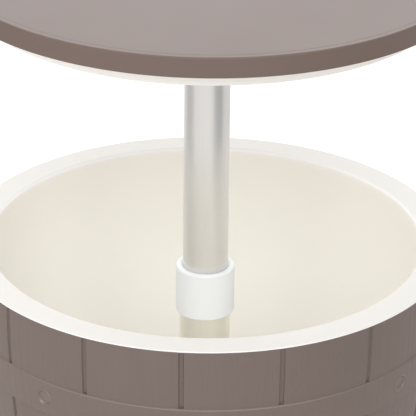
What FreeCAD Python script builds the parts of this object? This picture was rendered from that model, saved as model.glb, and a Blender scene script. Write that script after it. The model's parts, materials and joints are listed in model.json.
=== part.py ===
import FreeCAD, Part
import math
import operator
import os
import Sketcher

# Patio cooler table: a staved half-barrel tub on four legs, with a round table top that
# is also the lid. The top stands on a telescoping pole and is locked by a twist.
# Millimetres. The origin is on the floor, under the pole. +X is right, +Y is away, +Z is up.

DRIVING_SIZES = {
    # Tub, measured from the flat top of its rim
    "rim_height": 535.0,
    "rim_radius": 237.8,
    "rim_thickness": 4.0,
    "rim_lip": 1.5,
    "rim_overhang": 0.8,
    "rim_width": 29.5,
    "rim_edge_round": 1.2,
    "tub_depth": 370.0,
    "side_curve": 1000.0,
    "shell_wall": 4.5,
    "shell_corner": 9.0,
    "cup_flare": 2.0,
    "shell_turn": 6.25,
    "seat_gap": 0.3,
    "fit": 0.05,
    "overrun": 1.0,
    "edge_break": 1.0,
    # Staves, hoops and rivets moulded into the shell
    "stave_count": 16,
    "groove_width": 4.8,
    "groove_depth": 2.0,
    "hoop_width": 36.5,
    "hoop_rise": 1.8,
    "hoop_bevel": 0.7,
    "hoop_bite": 0.5,
    "upper_hoop_drop": 60.0,
    "lower_hoop_rise": 78.0,
    "rivet_count": 8,
    "rivet_radius": 7.2,
    "rivet_rise": 2.6,
    # Liner
    "liner_wall": 3.5,
    "liner_corner": 10.0,
    "floor_gap": 9.0,
    "mouth_round": 3.0,
    "rib_depth": 12.0,
    "socket_rise": 10.0,
    "socket_flare": 5.0,
    "socket_sink": 27.0,
    # Pole
    "outer_tube_radius": 24.7,
    "outer_tube_wall": 1.5,
    "inner_tube_radius": 21.9,
    "inner_tube_wall": 1.4,
    "collar_radius": 28.6,
    "collar_length": 49.0,
    "collar_drop": 29.0,
    "collar_lip": 3.0,
    "collar_lip_gap": 1.4,
    "collar_shoulder": 6.0,
    "collar_low_round": 1.6,
    "collar_high_round": 2.4,
    "seal_thickness": 1.5,
    "foot_plug_height": 10.5,
    "pole_bolt_radius": 4.0,
    "pole_washer_radius": 13.0,
    "washer_thickness": 1.5,
    "bolt_head_height": 5.5,
    "bolt_head_across": 6.5,
    # Twist lock at the inner tube's foot
    "tube_overlap": 50.0,
    "stud_radius": 5.0,
    "stud_flange": 3.0,
    "stud_flange_gap": 0.4,
    "plug_length": 20.0,
    "sleeve_length": 22.0,
    "sleeve_slit": 3.0,
    "wedge_length": 17.0,
    "wedge_radius": 13.0,
    "wedge_taper": 3.0,
    "wedge_travel": 1.0,
    "wedge_foot": 2.0,
    "key_gap": 0.2,
    "key_length": 14.0,
    "key_tip_gap": 3.0,
    "stud_nut_height": 5.0,
    "stud_nut_wall": 3.0,
    "stud_nut_cap": 1.5,
    "stud_nut_gap": 0.5,
    # Table top
    "lid_raise": 252.8,
    "lid_radius": 247.5,
    "lid_band": 19.3,
    "lid_plate": 4.0,
    "lid_skirt": 3.5,
    "lid_edge_land": 9.5,
    "lid_edge_step": 0.5,
    "lid_edge_slope": 1.2,
    "lid_edge_round": 0.9,
    "underside_drop": 17.1,
    "underside_wall": 3.0,
    # Where the seat and its side end, from the plug ring (0) out to the lip (1)
    "seat_share": 0.4753,
    "side_share": 0.6416,
    "seat_corner": 2.4,
    "lip_drop": 3.6,
    "lid_plug_gap": 3.1,
    "lid_plug_depth": 7.5,
    "pan_rise": 4.2,
    "hub_recess": 5.5,
    "dish_gap": 4.0,
    "dish_flare": 3.0,
    "hub_radius": 46.0,
    "hub_thickness": 4.0,
    "hub_plug_length": 30.0,
    "hub_pin_radius": 2.5,
    "hub_pin_inset": 0.2,
    "hub_screw_circle": 34.0,
    "hub_screw_count": 4,
    "hub_screw_length": 18.0,
    "lid_screw_inset": 33.2,
    "lid_screw_count": 8,
    "lid_screw_length": 16.0,
    "boss_radius": 6.0,
    "screw_radius": 2.4,
    "screw_head_radius": 4.5,
    "screw_head_height": 2.6,
    # Legs
    "leg_count": 4,
    "leg_inset": 25.1,
    "leg_knee_out": 14.0,
    "leg_foot_out": 47.0,
    "leg_waist": 1.0,
    "leg_top_depth": 40.0,
    "leg_top_width": 68.0,
    "leg_foot_depth": 26.0,
    "leg_foot_width": 42.0,
    "leg_corner": 7.0,
    "leg_flange_reach": 37.0,
    "leg_flange_width": 62.0,
    "leg_flange_thickness": 8.0,
    "leg_screw_in": 28.0,
    "leg_screw_side": 21.0,
    "leg_screw_tip_gap": 4.0,
    "leg_boss_height": 8.0,
    "leg_boss_roof": 1.0,
    "pad_radius": 10.0,
    "pad_thickness": 4.0,
    "pad_stem_radius": 3.0,
    "pad_stem_height": 8.0,
    "pad_stem_gap": 0.5,
    # Drain
    "drain_reach": 98.0,
    "drain_turn": 90.0,
    "drain_bore": 9.0,
    "drain_tube_wall": 3.0,
    "drain_flange_radius": 19.0,
    "drain_flange_height": 2.5,
    "drain_flange_slope": 1.5,
    "drain_nut_height": 5.0,
    "drain_tail": 12.0,
    "drain_plug_head": 14.0,
    "drain_plug_grip": 7.0,
    "drain_plug_rim": 1.5,
    "drain_plug_neck": 2.5,
}

doc = FreeCAD.newDocument("cooler_table")
sheet = doc.addObject("Spreadsheet::Sheet", "sizes")
nodes = []
derived = []


class Size:
    """A number of the model together with the sheet formula that gives it."""

    def __init__(self, number, formula):
        self.number = number
        self.formula = formula

    def __add__(self, other):
        return combine(self, "+", other)

    def __sub__(self, other):
        return combine(self, "-", other)

    def __mul__(self, other):
        return combine(self, "*", other)

    def __truediv__(self, other):
        return combine(self, "/", other)

    def __neg__(self):
        return combine(0.0, "-", self)


SIGNS = {"+": operator.add, "-": operator.sub, "*": operator.mul, "/": operator.truediv}


def as_size(value):
    if isinstance(value, Size):
        return value
    return Size(float(value), str(float(value)))


def combine(left, sign, right):
    left = as_size(left)
    right = as_size(right)
    number = SIGNS[sign](left.number, right.number)
    return Size(number, f"({left.formula} {sign} {right.formula})")


def root(value):
    return Size(math.sqrt(value.number), f"sqrt({value.formula})")


def fill_sheet():
    """Write each driving size into the sheet under its own name."""
    sizes = {}
    for row, (name, number) in enumerate(DRIVING_SIZES.items(), start=1):
        sheet.set(f"A{row}", name)
        sheet.set(f"B{row}", str(number))
        sheet.setAlias(f"B{row}", name)
        sizes[name] = Size(float(number), f"sizes.{name}")
    doc.recompute()
    return sizes


def derive(name, value):
    """Give a size worked out from others a cell of its own."""
    row = len(derived) + len(DRIVING_SIZES) + 2
    derived.append(name)
    sheet.set(f"A{row}", name)
    sheet.set(f"B{row}", "=" + value.formula.replace("sizes.", ""))
    sheet.setAlias(f"B{row}", name)
    return Size(value.number, f"sizes.{name}")


def bind(item, name, value):
    """Tie one property of a document object to a formula of the sheet."""
    item.setExpression(name, as_size(value).formula)


def add_body(label, turn=None):
    """A new piece; turn swings it about the pole, in degrees."""
    body = doc.addObject("PartDesign::Body", label)
    body.Label = label
    body.AllowCompound = True
    if turn is not None:
        turn = as_size(turn)
        body.Placement = FreeCAD.Placement(
            FreeCAD.Vector(0, 0, 0), FreeCAD.Rotation(FreeCAD.Vector(0, 0, 1), turn.number))
        bind(body, "Placement.Rotation.Angle", turn)
    nodes.append(body)
    return body


def origin_part(body, role):
    return [item for item in body.Origin.OriginFeatures if item.Role == role][0]


def add_sketch(body, name, role, lift=0.0, swing=0.0):
    """A sketch on an origin plane, lifted along its normal or swung about the pole."""
    lift = as_size(lift)
    swing = as_size(swing)
    pole = FreeCAD.Vector(0, 1, 0) if role == "XZ_Plane" else FreeCAD.Vector(0, 0, 1)
    sketch = body.newObject("Sketcher::SketchObject", f"{body.Name}_{name}")
    sketch.AttachmentSupport = (origin_part(body, role), [""])
    sketch.MapMode = "FlatFace"
    turned = FreeCAD.Rotation(pole, swing.number)
    sketch.AttachmentOffset = FreeCAD.Placement(FreeCAD.Vector(0, 0, lift.number), turned)
    if lift.number:
        bind(sketch, "AttachmentOffset.Base.z", lift)
    if swing.number:
        bind(sketch, "AttachmentOffset.Rotation.Angle", swing)
    return sketch


def place_constraints(geometry, spot, across, up):
    """Distances of one point from the origin, each with the formula it follows."""
    rows = []
    for kind, value, axis in (("DistanceX", across, -2), ("DistanceY", up, -1)):
        if abs(value.number) < 1e-9:
            rows.append((Sketcher.Constraint("PointOnObject", geometry, spot, axis), None))
        elif value.number > 0:
            rows.append((Sketcher.Constraint(kind, -1, 1, geometry, spot, value.number), value))
        else:
            rows.append((Sketcher.Constraint(kind, geometry, spot, -1, 1, -value.number), -value))
    return rows


def apply_constraints(sketch, rows):
    first = sketch.ConstraintCount
    sketch.addConstraint([constraint for constraint, _ in rows])
    for index, (_, value) in enumerate(rows, start=first):
        if value is not None:
            bind(sketch, f"Constraints[{index}]", value)


def arc_between(start, end, radius, side):
    """The short arc from start to end; its centre is left of the way for side 1."""
    chord = end - start
    half = chord.Length / 2
    height = math.sqrt(max(radius ** 2 - half ** 2, 0.0))
    left = FreeCAD.Vector(-chord.y, chord.x, 0).normalize()
    centre = start + chord * 0.5 + left * (height * side)
    first, last = (start, end) if side > 0 else (end, start)
    angles = [math.atan2(spot.y - centre.y, spot.x - centre.x) for spot in (first, last)]
    if angles[1] < angles[0]:
        angles[1] += 2 * math.pi
    circle = Part.Circle(centre, FreeCAD.Vector(0, 0, 1), radius)
    return Part.ArcOfCircle(circle, angles[0], angles[1])


def draw_outline(sketch, corners):
    """A closed outline. Each corner is (x, y), or (x, y, radius, side) where an arc leaves it."""
    corners = [tuple(as_size(value) for value in corner[:3]) + tuple(corner[3:])
               for corner in corners]
    spots = [FreeCAD.Vector(corner[0].number, corner[1].number, 0) for corner in corners]
    ends = []
    rows = []
    for index, corner in enumerate(corners):
        start, end = spots[index], spots[(index + 1) % len(spots)]
        if len(corner) == 2:
            geometry = sketch.addGeometry(Part.LineSegment(start, end), False)
            ends.append((geometry, 1, 2))
            continue
        radius, side = corner[2], corner[3]
        arc = arc_between(start, end, radius.number, side)
        geometry = sketch.addGeometry(arc, False)
        ends.append((geometry, 1, 2) if side > 0 else (geometry, 2, 1))
        rows.append((Sketcher.Constraint("Radius", geometry, radius.number), radius))
    for index, (geometry, start_spot, end_spot) in enumerate(ends):
        following = ends[(index + 1) % len(ends)]
        joint = Sketcher.Constraint("Coincident", geometry, end_spot, following[0], following[1])
        rows.insert(0, (joint, None))
        rows += place_constraints(geometry, start_spot, corners[index][0], corners[index][1])
    apply_constraints(sketch, rows)


def draw_circles(sketch, circles):
    """Full circles, each (x, y, radius)."""
    for circle in circles:
        across, up, radius = (as_size(value) for value in circle)
        centre = FreeCAD.Vector(across.number, up.number, 0)
        ring = Part.Circle(centre, FreeCAD.Vector(0, 0, 1), radius.number)
        geometry = sketch.addGeometry(ring, False)
        rows = [(Sketcher.Constraint("Radius", geometry, radius.number), radius)]
        rows += place_constraints(geometry, 3, across, up)
        apply_constraints(sketch, rows)


def draw_axis(sketch, start, end):
    """A construction line that a feature can turn about."""
    spots = [tuple(as_size(value) for value in spot) for spot in (start, end)]
    vectors = [FreeCAD.Vector(spot[0].number, spot[1].number, 0) for spot in spots]
    geometry = sketch.addGeometry(Part.LineSegment(*vectors), True)
    rows = place_constraints(geometry, 1, *spots[0]) + place_constraints(geometry, 2, *spots[1])
    apply_constraints(sketch, rows)


def turn_solid(body, sketch, name, cut=False, axis="V_Axis"):
    """Revolve an outline, adding to the body or cutting it."""
    kind = "PartDesign::Groove" if cut else "PartDesign::Revolution"
    feature = body.newObject(kind, f"{body.Name}_{name}")
    feature.Profile = sketch
    feature.ReferenceAxis = (sketch, [axis])
    feature.Angle = 360.0
    body.Tip = feature
    return feature


def raise_solid(body, sketch, name, height):
    """Pad an outline upwards along the sketch normal."""
    feature = body.newObject("PartDesign::Pad", f"{body.Name}_{name}")
    feature.Profile = sketch
    bind(feature, "Length", height)
    body.Tip = feature
    return feature


def cut_hole(body, sketch, name, depth, both_ways=False):
    """Pocket an outline along the sketch normal, or half to each side of it."""
    feature = body.newObject("PartDesign::Pocket", f"{body.Name}_{name}")
    feature.Profile = sketch
    feature.Reversed = not both_ways
    if both_ways:
        feature.Midplane = True
    bind(feature, "Length", depth)
    body.Tip = feature
    return feature


def repeat_round(body, name, features, count):
    """Copy features evenly about the pole."""
    pattern = body.newObject("PartDesign::PolarPattern", f"{body.Name}_{name}")
    pattern.Originals = features
    pattern.Axis = (origin_part(body, "Z_Axis"), [""])
    pattern.Angle = 360.0
    bind(pattern, "Occurrences", count)
    body.Tip = pattern
    return pattern


def turned_piece(label, corners, turn=None):
    """A piece with one closed outline turned about the pole."""
    body = add_body(label, turn)
    sketch = add_sketch(body, "outline", "XZ_Plane")
    draw_outline(sketch, corners)
    turn_solid(body, sketch, "turned")
    return body


def washer_outline(inner, outer, low, high):
    return [(inner, low), (outer, low), (outer, high), (inner, high)]


sizes = fill_sheet()
fit = sizes["fit"]
overrun = sizes["overrun"]
edge_break = sizes["edge_break"]
seat_gap = sizes["seat_gap"]
stave_angle = as_size(360.0) / sizes["stave_count"]
leg_angle = as_size(360.0) / sizes["leg_count"]

# Levels of the tub
rim_top = sizes["rim_height"]
rim_under = derive("rim_under", rim_top - sizes["rim_thickness"])
shell_top = derive("shell_top", rim_top - sizes["rim_lip"])
shell_base = derive("shell_base", rim_top - sizes["tub_depth"])
shell_floor = derive("shell_floor", shell_base + sizes["shell_wall"])
liner_under = derive("liner_under", shell_floor + sizes["floor_gap"])
liner_floor = derive("liner_floor", liner_under + sizes["liner_wall"])
socket_floor = derive("socket_floor", liner_floor - sizes["socket_sink"])
cup_floor = derive("cup_floor", socket_floor - sizes["liner_wall"])
cup_base = derive("cup_base", cup_floor - sizes["shell_wall"])
upper_hoop_top = derive("upper_hoop_top", rim_top - sizes["upper_hoop_drop"])
lower_hoop_top = derive("lower_hoop_top", shell_base + sizes["lower_hoop_rise"])

# Levels of the pole
collar_top = derive("collar_top", rim_top - sizes["collar_drop"])
collar_base = derive("collar_base", collar_top - sizes["collar_length"])
outer_tube_top = derive("outer_tube_top", collar_top - sizes["collar_shoulder"])
outer_tube_foot = derive("outer_tube_foot", socket_floor + sizes["seal_thickness"])
outer_tube_bore = derive("outer_tube_bore", sizes["outer_tube_radius"] - sizes["outer_tube_wall"])
inner_tube_bore = derive("inner_tube_bore", sizes["inner_tube_radius"] - sizes["inner_tube_wall"])
inner_tube_foot = derive("inner_tube_foot", collar_top - sizes["tube_overlap"])

# Levels of the raised table top
lid_seat = derive("lid_seat", rim_top + seat_gap + sizes["lid_raise"])
band_base = derive("band_base", lid_seat + sizes["underside_drop"])
lid_top_level = derive("lid_top_level", band_base + sizes["lid_band"])
lid_ceiling = derive("lid_ceiling", lid_top_level - sizes["lid_plate"])
lip_base = derive("lip_base", band_base - sizes["lip_drop"])
pan_ceiling = derive("pan_ceiling", lid_seat + sizes["pan_rise"])
hub_ceiling = derive("hub_ceiling", pan_ceiling + sizes["hub_recess"])
hub_base = derive("hub_base", hub_ceiling - sizes["hub_thickness"])

# Distances of the table top from the pole
mouth_radius = derive("mouth_radius", sizes["rim_radius"] - sizes["rim_width"])
plug_ring_radius = derive("plug_ring_radius", mouth_radius - sizes["lid_plug_gap"])
lip_radius = derive("lip_radius", sizes["lid_radius"] - sizes["lid_skirt"] - seat_gap)
lid_screw_circle = derive("lid_screw_circle", plug_ring_radius - sizes["lid_screw_inset"])

# Staved shell
shell_top_radius = derive("shell_top_radius", sizes["rim_radius"] - sizes["rim_overhang"])
curve_centre = derive("curve_centre", shell_top_radius - sizes["side_curve"])
side_foot = derive("side_foot", shell_base + sizes["shell_corner"])


def bulge(offset, level):
    """Distance from the pole to the shell's curved side, offset outwards, at a level."""
    radius = sizes["side_curve"] + offset
    drop = shell_top - level
    return curve_centre + root(radius * radius - drop * drop)


base_edge = derive("base_edge", bulge(0.0, side_foot) - sizes["shell_corner"])

# Distances of the legs from the pole
leg_top_reach = derive("leg_top_reach", base_edge - sizes["leg_inset"])
leg_knee_reach = derive("leg_knee_reach", leg_top_reach + sizes["leg_knee_out"])
leg_foot_reach = derive("leg_foot_reach", leg_top_reach + sizes["leg_foot_out"])
leg_screw_reach = derive("leg_screw_reach", leg_top_reach - sizes["leg_screw_in"])


def shell_outline():
    wall = -sizes["shell_wall"]
    corner = sizes["shell_corner"]
    inner_corner = corner + wall
    cup_radius = sizes["outer_tube_radius"] + fit + sizes["liner_wall"] + seat_gap
    cup_outside = cup_radius + sizes["shell_wall"]
    bolt_hole = sizes["pole_bolt_radius"] + seat_gap
    outer_curve = sizes["side_curve"]
    inner_curve = sizes["side_curve"] + wall
    return [
        (bulge(wall, shell_top), shell_top),
        (bulge(0.0, shell_top), shell_top, outer_curve, -1),
        (bulge(0.0, side_foot), side_foot, corner, -1),
        (base_edge, shell_base),
        (cup_outside + sizes["cup_flare"], shell_base),
        (cup_outside, cup_base),
        (bolt_hole, cup_base),
        (bolt_hole, cup_floor),
        (cup_radius, cup_floor),
        (cup_radius + sizes["cup_flare"], shell_floor),
        (base_edge, shell_floor, inner_corner, 1),
        (bulge(wall, side_foot), side_foot, inner_curve, 1),
    ]


def groove_outline():
    """Slot between two staves: from a little outside the side to the groove's bottom."""
    depth = -sizes["groove_depth"]
    clear = sizes["hoop_rise"] + overrun
    high = shell_top + overrun
    curve = sizes["side_curve"]
    return [
        (bulge(clear, high), high, curve + clear, -1),
        (bulge(clear, side_foot), side_foot),
        (bulge(depth, side_foot), side_foot, curve + depth, 1),
        (bulge(depth, high), high),
    ]


def hoop_outline(high):
    """Flat band round the staves, with its two edges bevelled."""
    rise, bevel = sizes["hoop_rise"], sizes["hoop_bevel"]
    root_depth = -(sizes["groove_depth"] + sizes["hoop_bite"])
    low = high - sizes["hoop_width"]
    curve = sizes["side_curve"]
    return [
        (bulge(root_depth, high), high),
        (bulge(rise - bevel, high), high),
        (bulge(rise, high - bevel), high - bevel, curve + rise, -1),
        (bulge(rise, low + bevel), low + bevel),
        (bulge(rise - bevel, low), low),
        (bulge(root_depth, low), low, curve + root_depth, 1),
    ]


def add_rivets(body, name, hoop_top):
    """Domed rivet heads along the middle of a hoop, square to its surface."""
    level = hoop_top - sizes["hoop_width"] / 2
    reach = sizes["side_curve"] + sizes["hoop_rise"]
    fall = shell_top - level
    along = root(reach * reach - fall * fall) / reach
    down = fall / reach
    radius, rise = sizes["rivet_radius"], sizes["rivet_rise"]
    root_depth = -sizes["shell_wall"] / 2
    dome = (radius * radius + rise * rise) / (rise * 2)

    def spot(out, side):
        """A point beside the rivet's own axis, in the sketch."""
        return (curve_centre + along * (reach + out) + down * side,
                shell_top - down * (reach + out) + along * side)

    sketch = add_sketch(body, f"{name}_head", "XZ_Plane")
    draw_outline(sketch, [
        spot(root_depth, 0.0),
        spot(rise, 0.0) + (dome, -1),
        spot(0.0, -radius),
        spot(root_depth, -radius),
    ])
    draw_axis(sketch, spot(0.0, 0.0), spot(rise * 3, 0.0))
    head = turn_solid(body, sketch, name, axis="Axis0")
    return repeat_round(body, f"{name}_round", [head], sizes["rivet_count"])


def make_shell():
    body = add_body("outer_shell", sizes["shell_turn"])
    wall = add_sketch(body, "wall", "XZ_Plane")
    draw_outline(wall, shell_outline())
    turn_solid(body, wall, "tub")
    groove = add_sketch(body, "groove", "XZ_Plane", swing=stave_angle / 2)
    draw_outline(groove, groove_outline())
    slot = cut_hole(body, groove, "slot", sizes["groove_width"], both_ways=True)
    repeat_round(body, "slots", [slot], sizes["stave_count"])
    for name, hoop_top in (("upper", upper_hoop_top), ("lower", lower_hoop_top)):
        band = add_sketch(body, f"{name}_band", "XZ_Plane")
        draw_outline(band, hoop_outline(hoop_top))
        turn_solid(body, band, f"{name}_hoop")
        add_rivets(body, f"{name}_rivet", hoop_top)
    boss_start = shell_base + sizes["shell_wall"] / 2
    boss_height = sizes["shell_wall"] / 2 + sizes["leg_boss_height"]
    bosses = add_sketch(body, "bosses", "XY_Plane", lift=boss_start, swing=leg_angle / 2)
    draw_circles(bosses, leg_screw_circles(sizes["boss_radius"]))
    boss = raise_solid(body, bosses, "boss", boss_height)
    repeat_round(body, "boss_round", [boss], sizes["leg_count"])
    hole_start = shell_base - overrun
    hole_depth = overrun + sizes["shell_wall"] + sizes["leg_boss_height"] - sizes["leg_boss_roof"]
    holes = add_sketch(body, "holes", "XY_Plane", lift=hole_start, swing=leg_angle / 2)
    draw_circles(holes, leg_screw_circles(sizes["screw_radius"] + fit))
    hole = cut_hole(body, holes, "hole", hole_depth)
    repeat_round(body, "hole_round", [hole], sizes["leg_count"])
    cut_drain_hole(body, shell_base, sizes["shell_wall"], sizes["drain_turn"])


def leg_screw_circles(radius):
    """One circle round each of a leg's two screws."""
    return [(leg_screw_reach, side, radius)
            for side in (sizes["leg_screw_side"], -sizes["leg_screw_side"])]


def cut_drain_hole(body, base, wall, around):
    """Round way for the drain fitting, straight up through a floor."""
    sketch = add_sketch(body, "drain", "XY_Plane", lift=base - overrun, swing=around)
    draw_circles(sketch, [(sizes["drain_reach"], 0.0,
                           sizes["drain_bore"] + sizes["drain_tube_wall"] + fit)])
    cut_hole(body, sketch, "drain_hole", wall + overrun * 2)


# Cream liner with the rim, the floor and the socket for the pole
def liner_side(offset, level):
    """Distance from the pole to the liner's inner side, offset outwards, at a level."""
    centre = mouth_radius - sizes["side_curve"]
    radius = sizes["side_curve"] + offset
    drop = rim_top - level
    return centre + root(radius * radius - drop * drop)


def liner_outline():
    wall = sizes["liner_wall"]
    corner = sizes["liner_corner"]
    mouth = sizes["mouth_round"]
    curve = sizes["side_curve"]
    corner_top = liner_floor + corner
    corner_foot = liner_side(0.0, corner_top) - corner
    socket_bore = sizes["outer_tube_radius"] + fit
    socket_outside = socket_bore + wall
    bolt_hole = sizes["pole_bolt_radius"] + seat_gap
    rib_out = shell_top_radius - sizes["shell_wall"] - seat_gap
    rib_in = rib_out - wall
    rib_foot = rim_under - sizes["rib_depth"]
    edge = sizes["rim_edge_round"]
    return [
        (liner_side(0.0, rim_top) + mouth, rim_top, mouth, 1),
        (liner_side(0.0, rim_top - mouth), rim_top - mouth, curve, -1),
        (liner_side(0.0, corner_top), corner_top, corner, -1),
        (corner_foot, liner_floor),
        (socket_outside + sizes["socket_flare"], liner_floor),
        (socket_outside, liner_floor + sizes["socket_rise"]),
        (socket_bore, liner_floor + sizes["socket_rise"]),
        (socket_bore, socket_floor),
        (bolt_hole, socket_floor),
        (bolt_hole, cup_floor),
        (socket_outside, cup_floor),
        (socket_outside, liner_under),
        (corner_foot, liner_under, corner + wall, 1),
        (liner_side(wall, corner_top), corner_top, curve + wall, 1),
        (liner_side(wall, rim_under), rim_under),
        (rib_in, rim_under),
        (rib_in, rib_foot),
        (rib_out, rib_foot),
        (rib_out, shell_top),
        (sizes["rim_radius"], shell_top),
        (sizes["rim_radius"], rim_top - edge, edge, 1),
        (sizes["rim_radius"] - edge, rim_top),
    ]


def make_liner():
    body = turned_piece("inner_liner", liner_outline())
    cut_drain_hole(body, liner_under, sizes["liner_wall"],
                   sizes["shell_turn"] + sizes["drain_turn"])


# Fixed lower half of the pole
def make_outer_tube():
    turned_piece("pole_seal", washer_outline(
        sizes["pole_bolt_radius"] + seat_gap, sizes["outer_tube_radius"],
        socket_floor, outer_tube_foot))
    turned_piece("outer_tube", washer_outline(
        outer_tube_bore, sizes["outer_tube_radius"], outer_tube_foot, outer_tube_top))
    plug_top = outer_tube_foot + sizes["foot_plug_height"]
    turned_piece("tube_foot_plug", [
        (sizes["pole_bolt_radius"] + fit, outer_tube_foot),
        (outer_tube_bore - fit, outer_tube_foot),
        (outer_tube_bore - fit, plug_top - edge_break),
        (outer_tube_bore - fit - edge_break, plug_top),
        (sizes["pole_bolt_radius"] + fit, plug_top),
    ])


HEXAGON_SIDES = 6


def make_pole_bolt():
    """Hexagon bolt from below that clamps socket, cup and tube together."""
    head_top = cup_base - sizes["washer_thickness"]
    head_base = head_top - sizes["bolt_head_height"]
    body = add_body("pole_bolt")
    shank = add_sketch(body, "shank", "XY_Plane", lift=head_base)
    draw_circles(shank, [(0.0, 0.0, sizes["pole_bolt_radius"])])
    tip = outer_tube_foot + sizes["foot_plug_height"] - edge_break
    raise_solid(body, shank, "shank_round", tip - head_base)
    head = add_sketch(body, "head", "XY_Plane", lift=head_base)
    corner_reach = sizes["bolt_head_across"] / math.cos(math.pi / HEXAGON_SIDES)
    points = []
    for step in range(HEXAGON_SIDES):
        angle = 2 * math.pi * step / HEXAGON_SIDES
        points.append((corner_reach * math.cos(angle), corner_reach * round(math.sin(angle), 9)))
    draw_outline(head, points)
    raise_solid(body, head, "head_hex", sizes["bolt_head_height"])
    turned_piece("pole_washer", washer_outline(
        sizes["pole_bolt_radius"] + fit, sizes["pole_washer_radius"], head_top, cup_base))


def make_guide_collar():
    """White collar over the fixed tube's end, with a thin bush inside the tube.

    The bush guides the sliding tube, and its foot stops the stud's flange at full height.
    The raised lip on top stands off the sliding tube.
    """
    outside = sizes["collar_radius"]
    slide = sizes["inner_tube_radius"] + fit
    lip_bore = slide + sizes["collar_lip_gap"]
    lip_foot = collar_top - sizes["collar_lip"]
    socket = sizes["outer_tube_radius"] + fit
    bush_foot = inner_tube_foot + seat_gap
    round_low, round_high = sizes["collar_low_round"], sizes["collar_high_round"]
    turned_piece("guide_collar", [
        (socket, collar_base),
        (outside - round_low, collar_base, round_low, 1),
        (outside, collar_base + round_low),
        (outside, collar_top - round_high, round_high, 1),
        (outside - round_high, collar_top),
        (lip_bore, collar_top),
        (lip_bore, lip_foot),
        (slide, lip_foot),
        (slide, bush_foot),
        (outer_tube_bore - fit, bush_foot),
        (outer_tube_bore - fit, outer_tube_top),
        (socket, outer_tube_top),
    ])


# Sliding upper half of the pole, with the twist lock in its foot
def make_inner_tube():
    body = turned_piece("inner_tube", washer_outline(
        inner_tube_bore, sizes["inner_tube_radius"], inner_tube_foot, hub_base))
    cut_pin_hole(body)


def cut_pin_hole(body):
    """Cross hole for the pin that ties the tube to its hub."""
    level = hub_base - sizes["hub_plug_length"] / 2
    sketch = add_sketch(body, "pin", "XZ_Plane")
    draw_circles(sketch, [(0.0, level, sizes["hub_pin_radius"] + fit)])
    length = (sizes["inner_tube_radius"] + overrun) * 2
    cut_hole(body, sketch, "pin_hole", length, both_ways=True)


def radial_bar(inside, outside, width):
    """Rectangle that points away from the pole."""
    half = width / 2
    return [(inside, -half), (outside, -half), (outside, half), (inside, half)]


def make_twist_lock():
    bore = sizes["stud_radius"] + fit
    flange_base = inner_tube_foot - sizes["stud_flange"]
    sleeve_top = flange_base - fit
    sleeve_base = sleeve_top - sizes["sleeve_length"]
    wedge_base = sleeve_base - sizes["wedge_foot"]
    wedge_top = wedge_base + sizes["wedge_length"]
    nut_top = wedge_base - sizes["wedge_travel"] - sizes["stud_nut_gap"]
    nut_base = nut_top - sizes["stud_nut_height"]
    stud_end = nut_base + fit
    plug_radius = inner_tube_bore - fit
    flange_radius = outer_tube_bore - sizes["stud_flange_gap"]
    wide = sizes["wedge_radius"]
    narrow = wide - sizes["wedge_taper"]
    slope = sizes["wedge_taper"] / sizes["wedge_length"]
    turned_piece("lock_stud", [
        (0.0, stud_end),
        (sizes["stud_radius"], stud_end),
        (sizes["stud_radius"], flange_base),
        (flange_radius, flange_base),
        (flange_radius, inner_tube_foot),
        (plug_radius, inner_tube_foot),
        (plug_radius, inner_tube_foot + sizes["plug_length"]),
        (0.0, inner_tube_foot + sizes["plug_length"]),
    ])
    sleeve = turned_piece("lock_sleeve", [
        (wide + fit - slope * sizes["wedge_foot"], sleeve_base),
        (outer_tube_bore - fit, sleeve_base),
        (outer_tube_bore - fit, sleeve_top),
        (bore, sleeve_top),
        (bore, wedge_top + sizes["wedge_travel"]),
        (narrow + fit - slope * sizes["wedge_travel"], wedge_top + sizes["wedge_travel"]),
    ])
    slit = add_sketch(sleeve, "slit", "XY_Plane", lift=sleeve_base - overrun)
    draw_outline(slit, radial_bar(bore / 2, outer_tube_bore + overrun, sizes["sleeve_slit"]))
    cut_hole(sleeve, slit, "slit_way", sizes["sleeve_length"] + overrun * 2)
    wedge = turned_piece("lock_wedge", [
        (bore, wedge_base),
        (wide, wedge_base),
        (narrow, wedge_top),
        (bore, wedge_top),
    ])
    key = add_sketch(wedge, "key", "XY_Plane", lift=wedge_base)
    key_tip = outer_tube_bore - sizes["key_tip_gap"]
    key_width = sizes["sleeve_slit"] - sizes["key_gap"] * 2
    draw_outline(key, radial_bar((bore + narrow) / 2, key_tip, key_width))
    raise_solid(wedge, key, "key_rib", sizes["key_length"])
    nut_foot = nut_base - sizes["stud_nut_cap"]
    nut_radius = sizes["stud_radius"] + sizes["stud_nut_wall"]
    turned_piece("stud_nut", [
        (0.0, nut_foot),
        (nut_radius, nut_foot),
        (nut_radius, nut_top),
        (bore, nut_top),
        (bore, stud_end),
        (0.0, stud_end),
    ])


# Table top that is also the lid
def make_lid_hub():
    plug_radius = inner_tube_bore - fit
    plug_base = hub_base - sizes["hub_plug_length"]
    wall = sizes["hub_thickness"]
    body = turned_piece("lid_hub", [
        (plug_radius - wall, plug_base),
        (plug_radius, plug_base),
        (plug_radius, hub_base),
        (sizes["hub_radius"] - edge_break, hub_base),
        (sizes["hub_radius"], hub_base + edge_break),
        (sizes["hub_radius"], hub_ceiling),
        (plug_radius - wall, hub_ceiling),
    ])
    cut_pin_hole(body)
    cut_screw_holes(body, hub_base, sizes["hub_thickness"],
                    sizes["hub_screw_circle"], sizes["hub_screw_count"], "hub")
    pin = add_body("hub_pin")
    sketch = add_sketch(pin, "round", "XZ_Plane")
    draw_circles(sketch, [(0.0, hub_base - sizes["hub_plug_length"] / 2, sizes["hub_pin_radius"])])
    rod = pin.newObject("PartDesign::Pad", "hub_pin_rod")
    rod.Profile = sketch
    rod.Midplane = True
    bind(rod, "Length", (sizes["inner_tube_radius"] - sizes["hub_pin_inset"]) * 2)
    pin.Tip = rod


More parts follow.
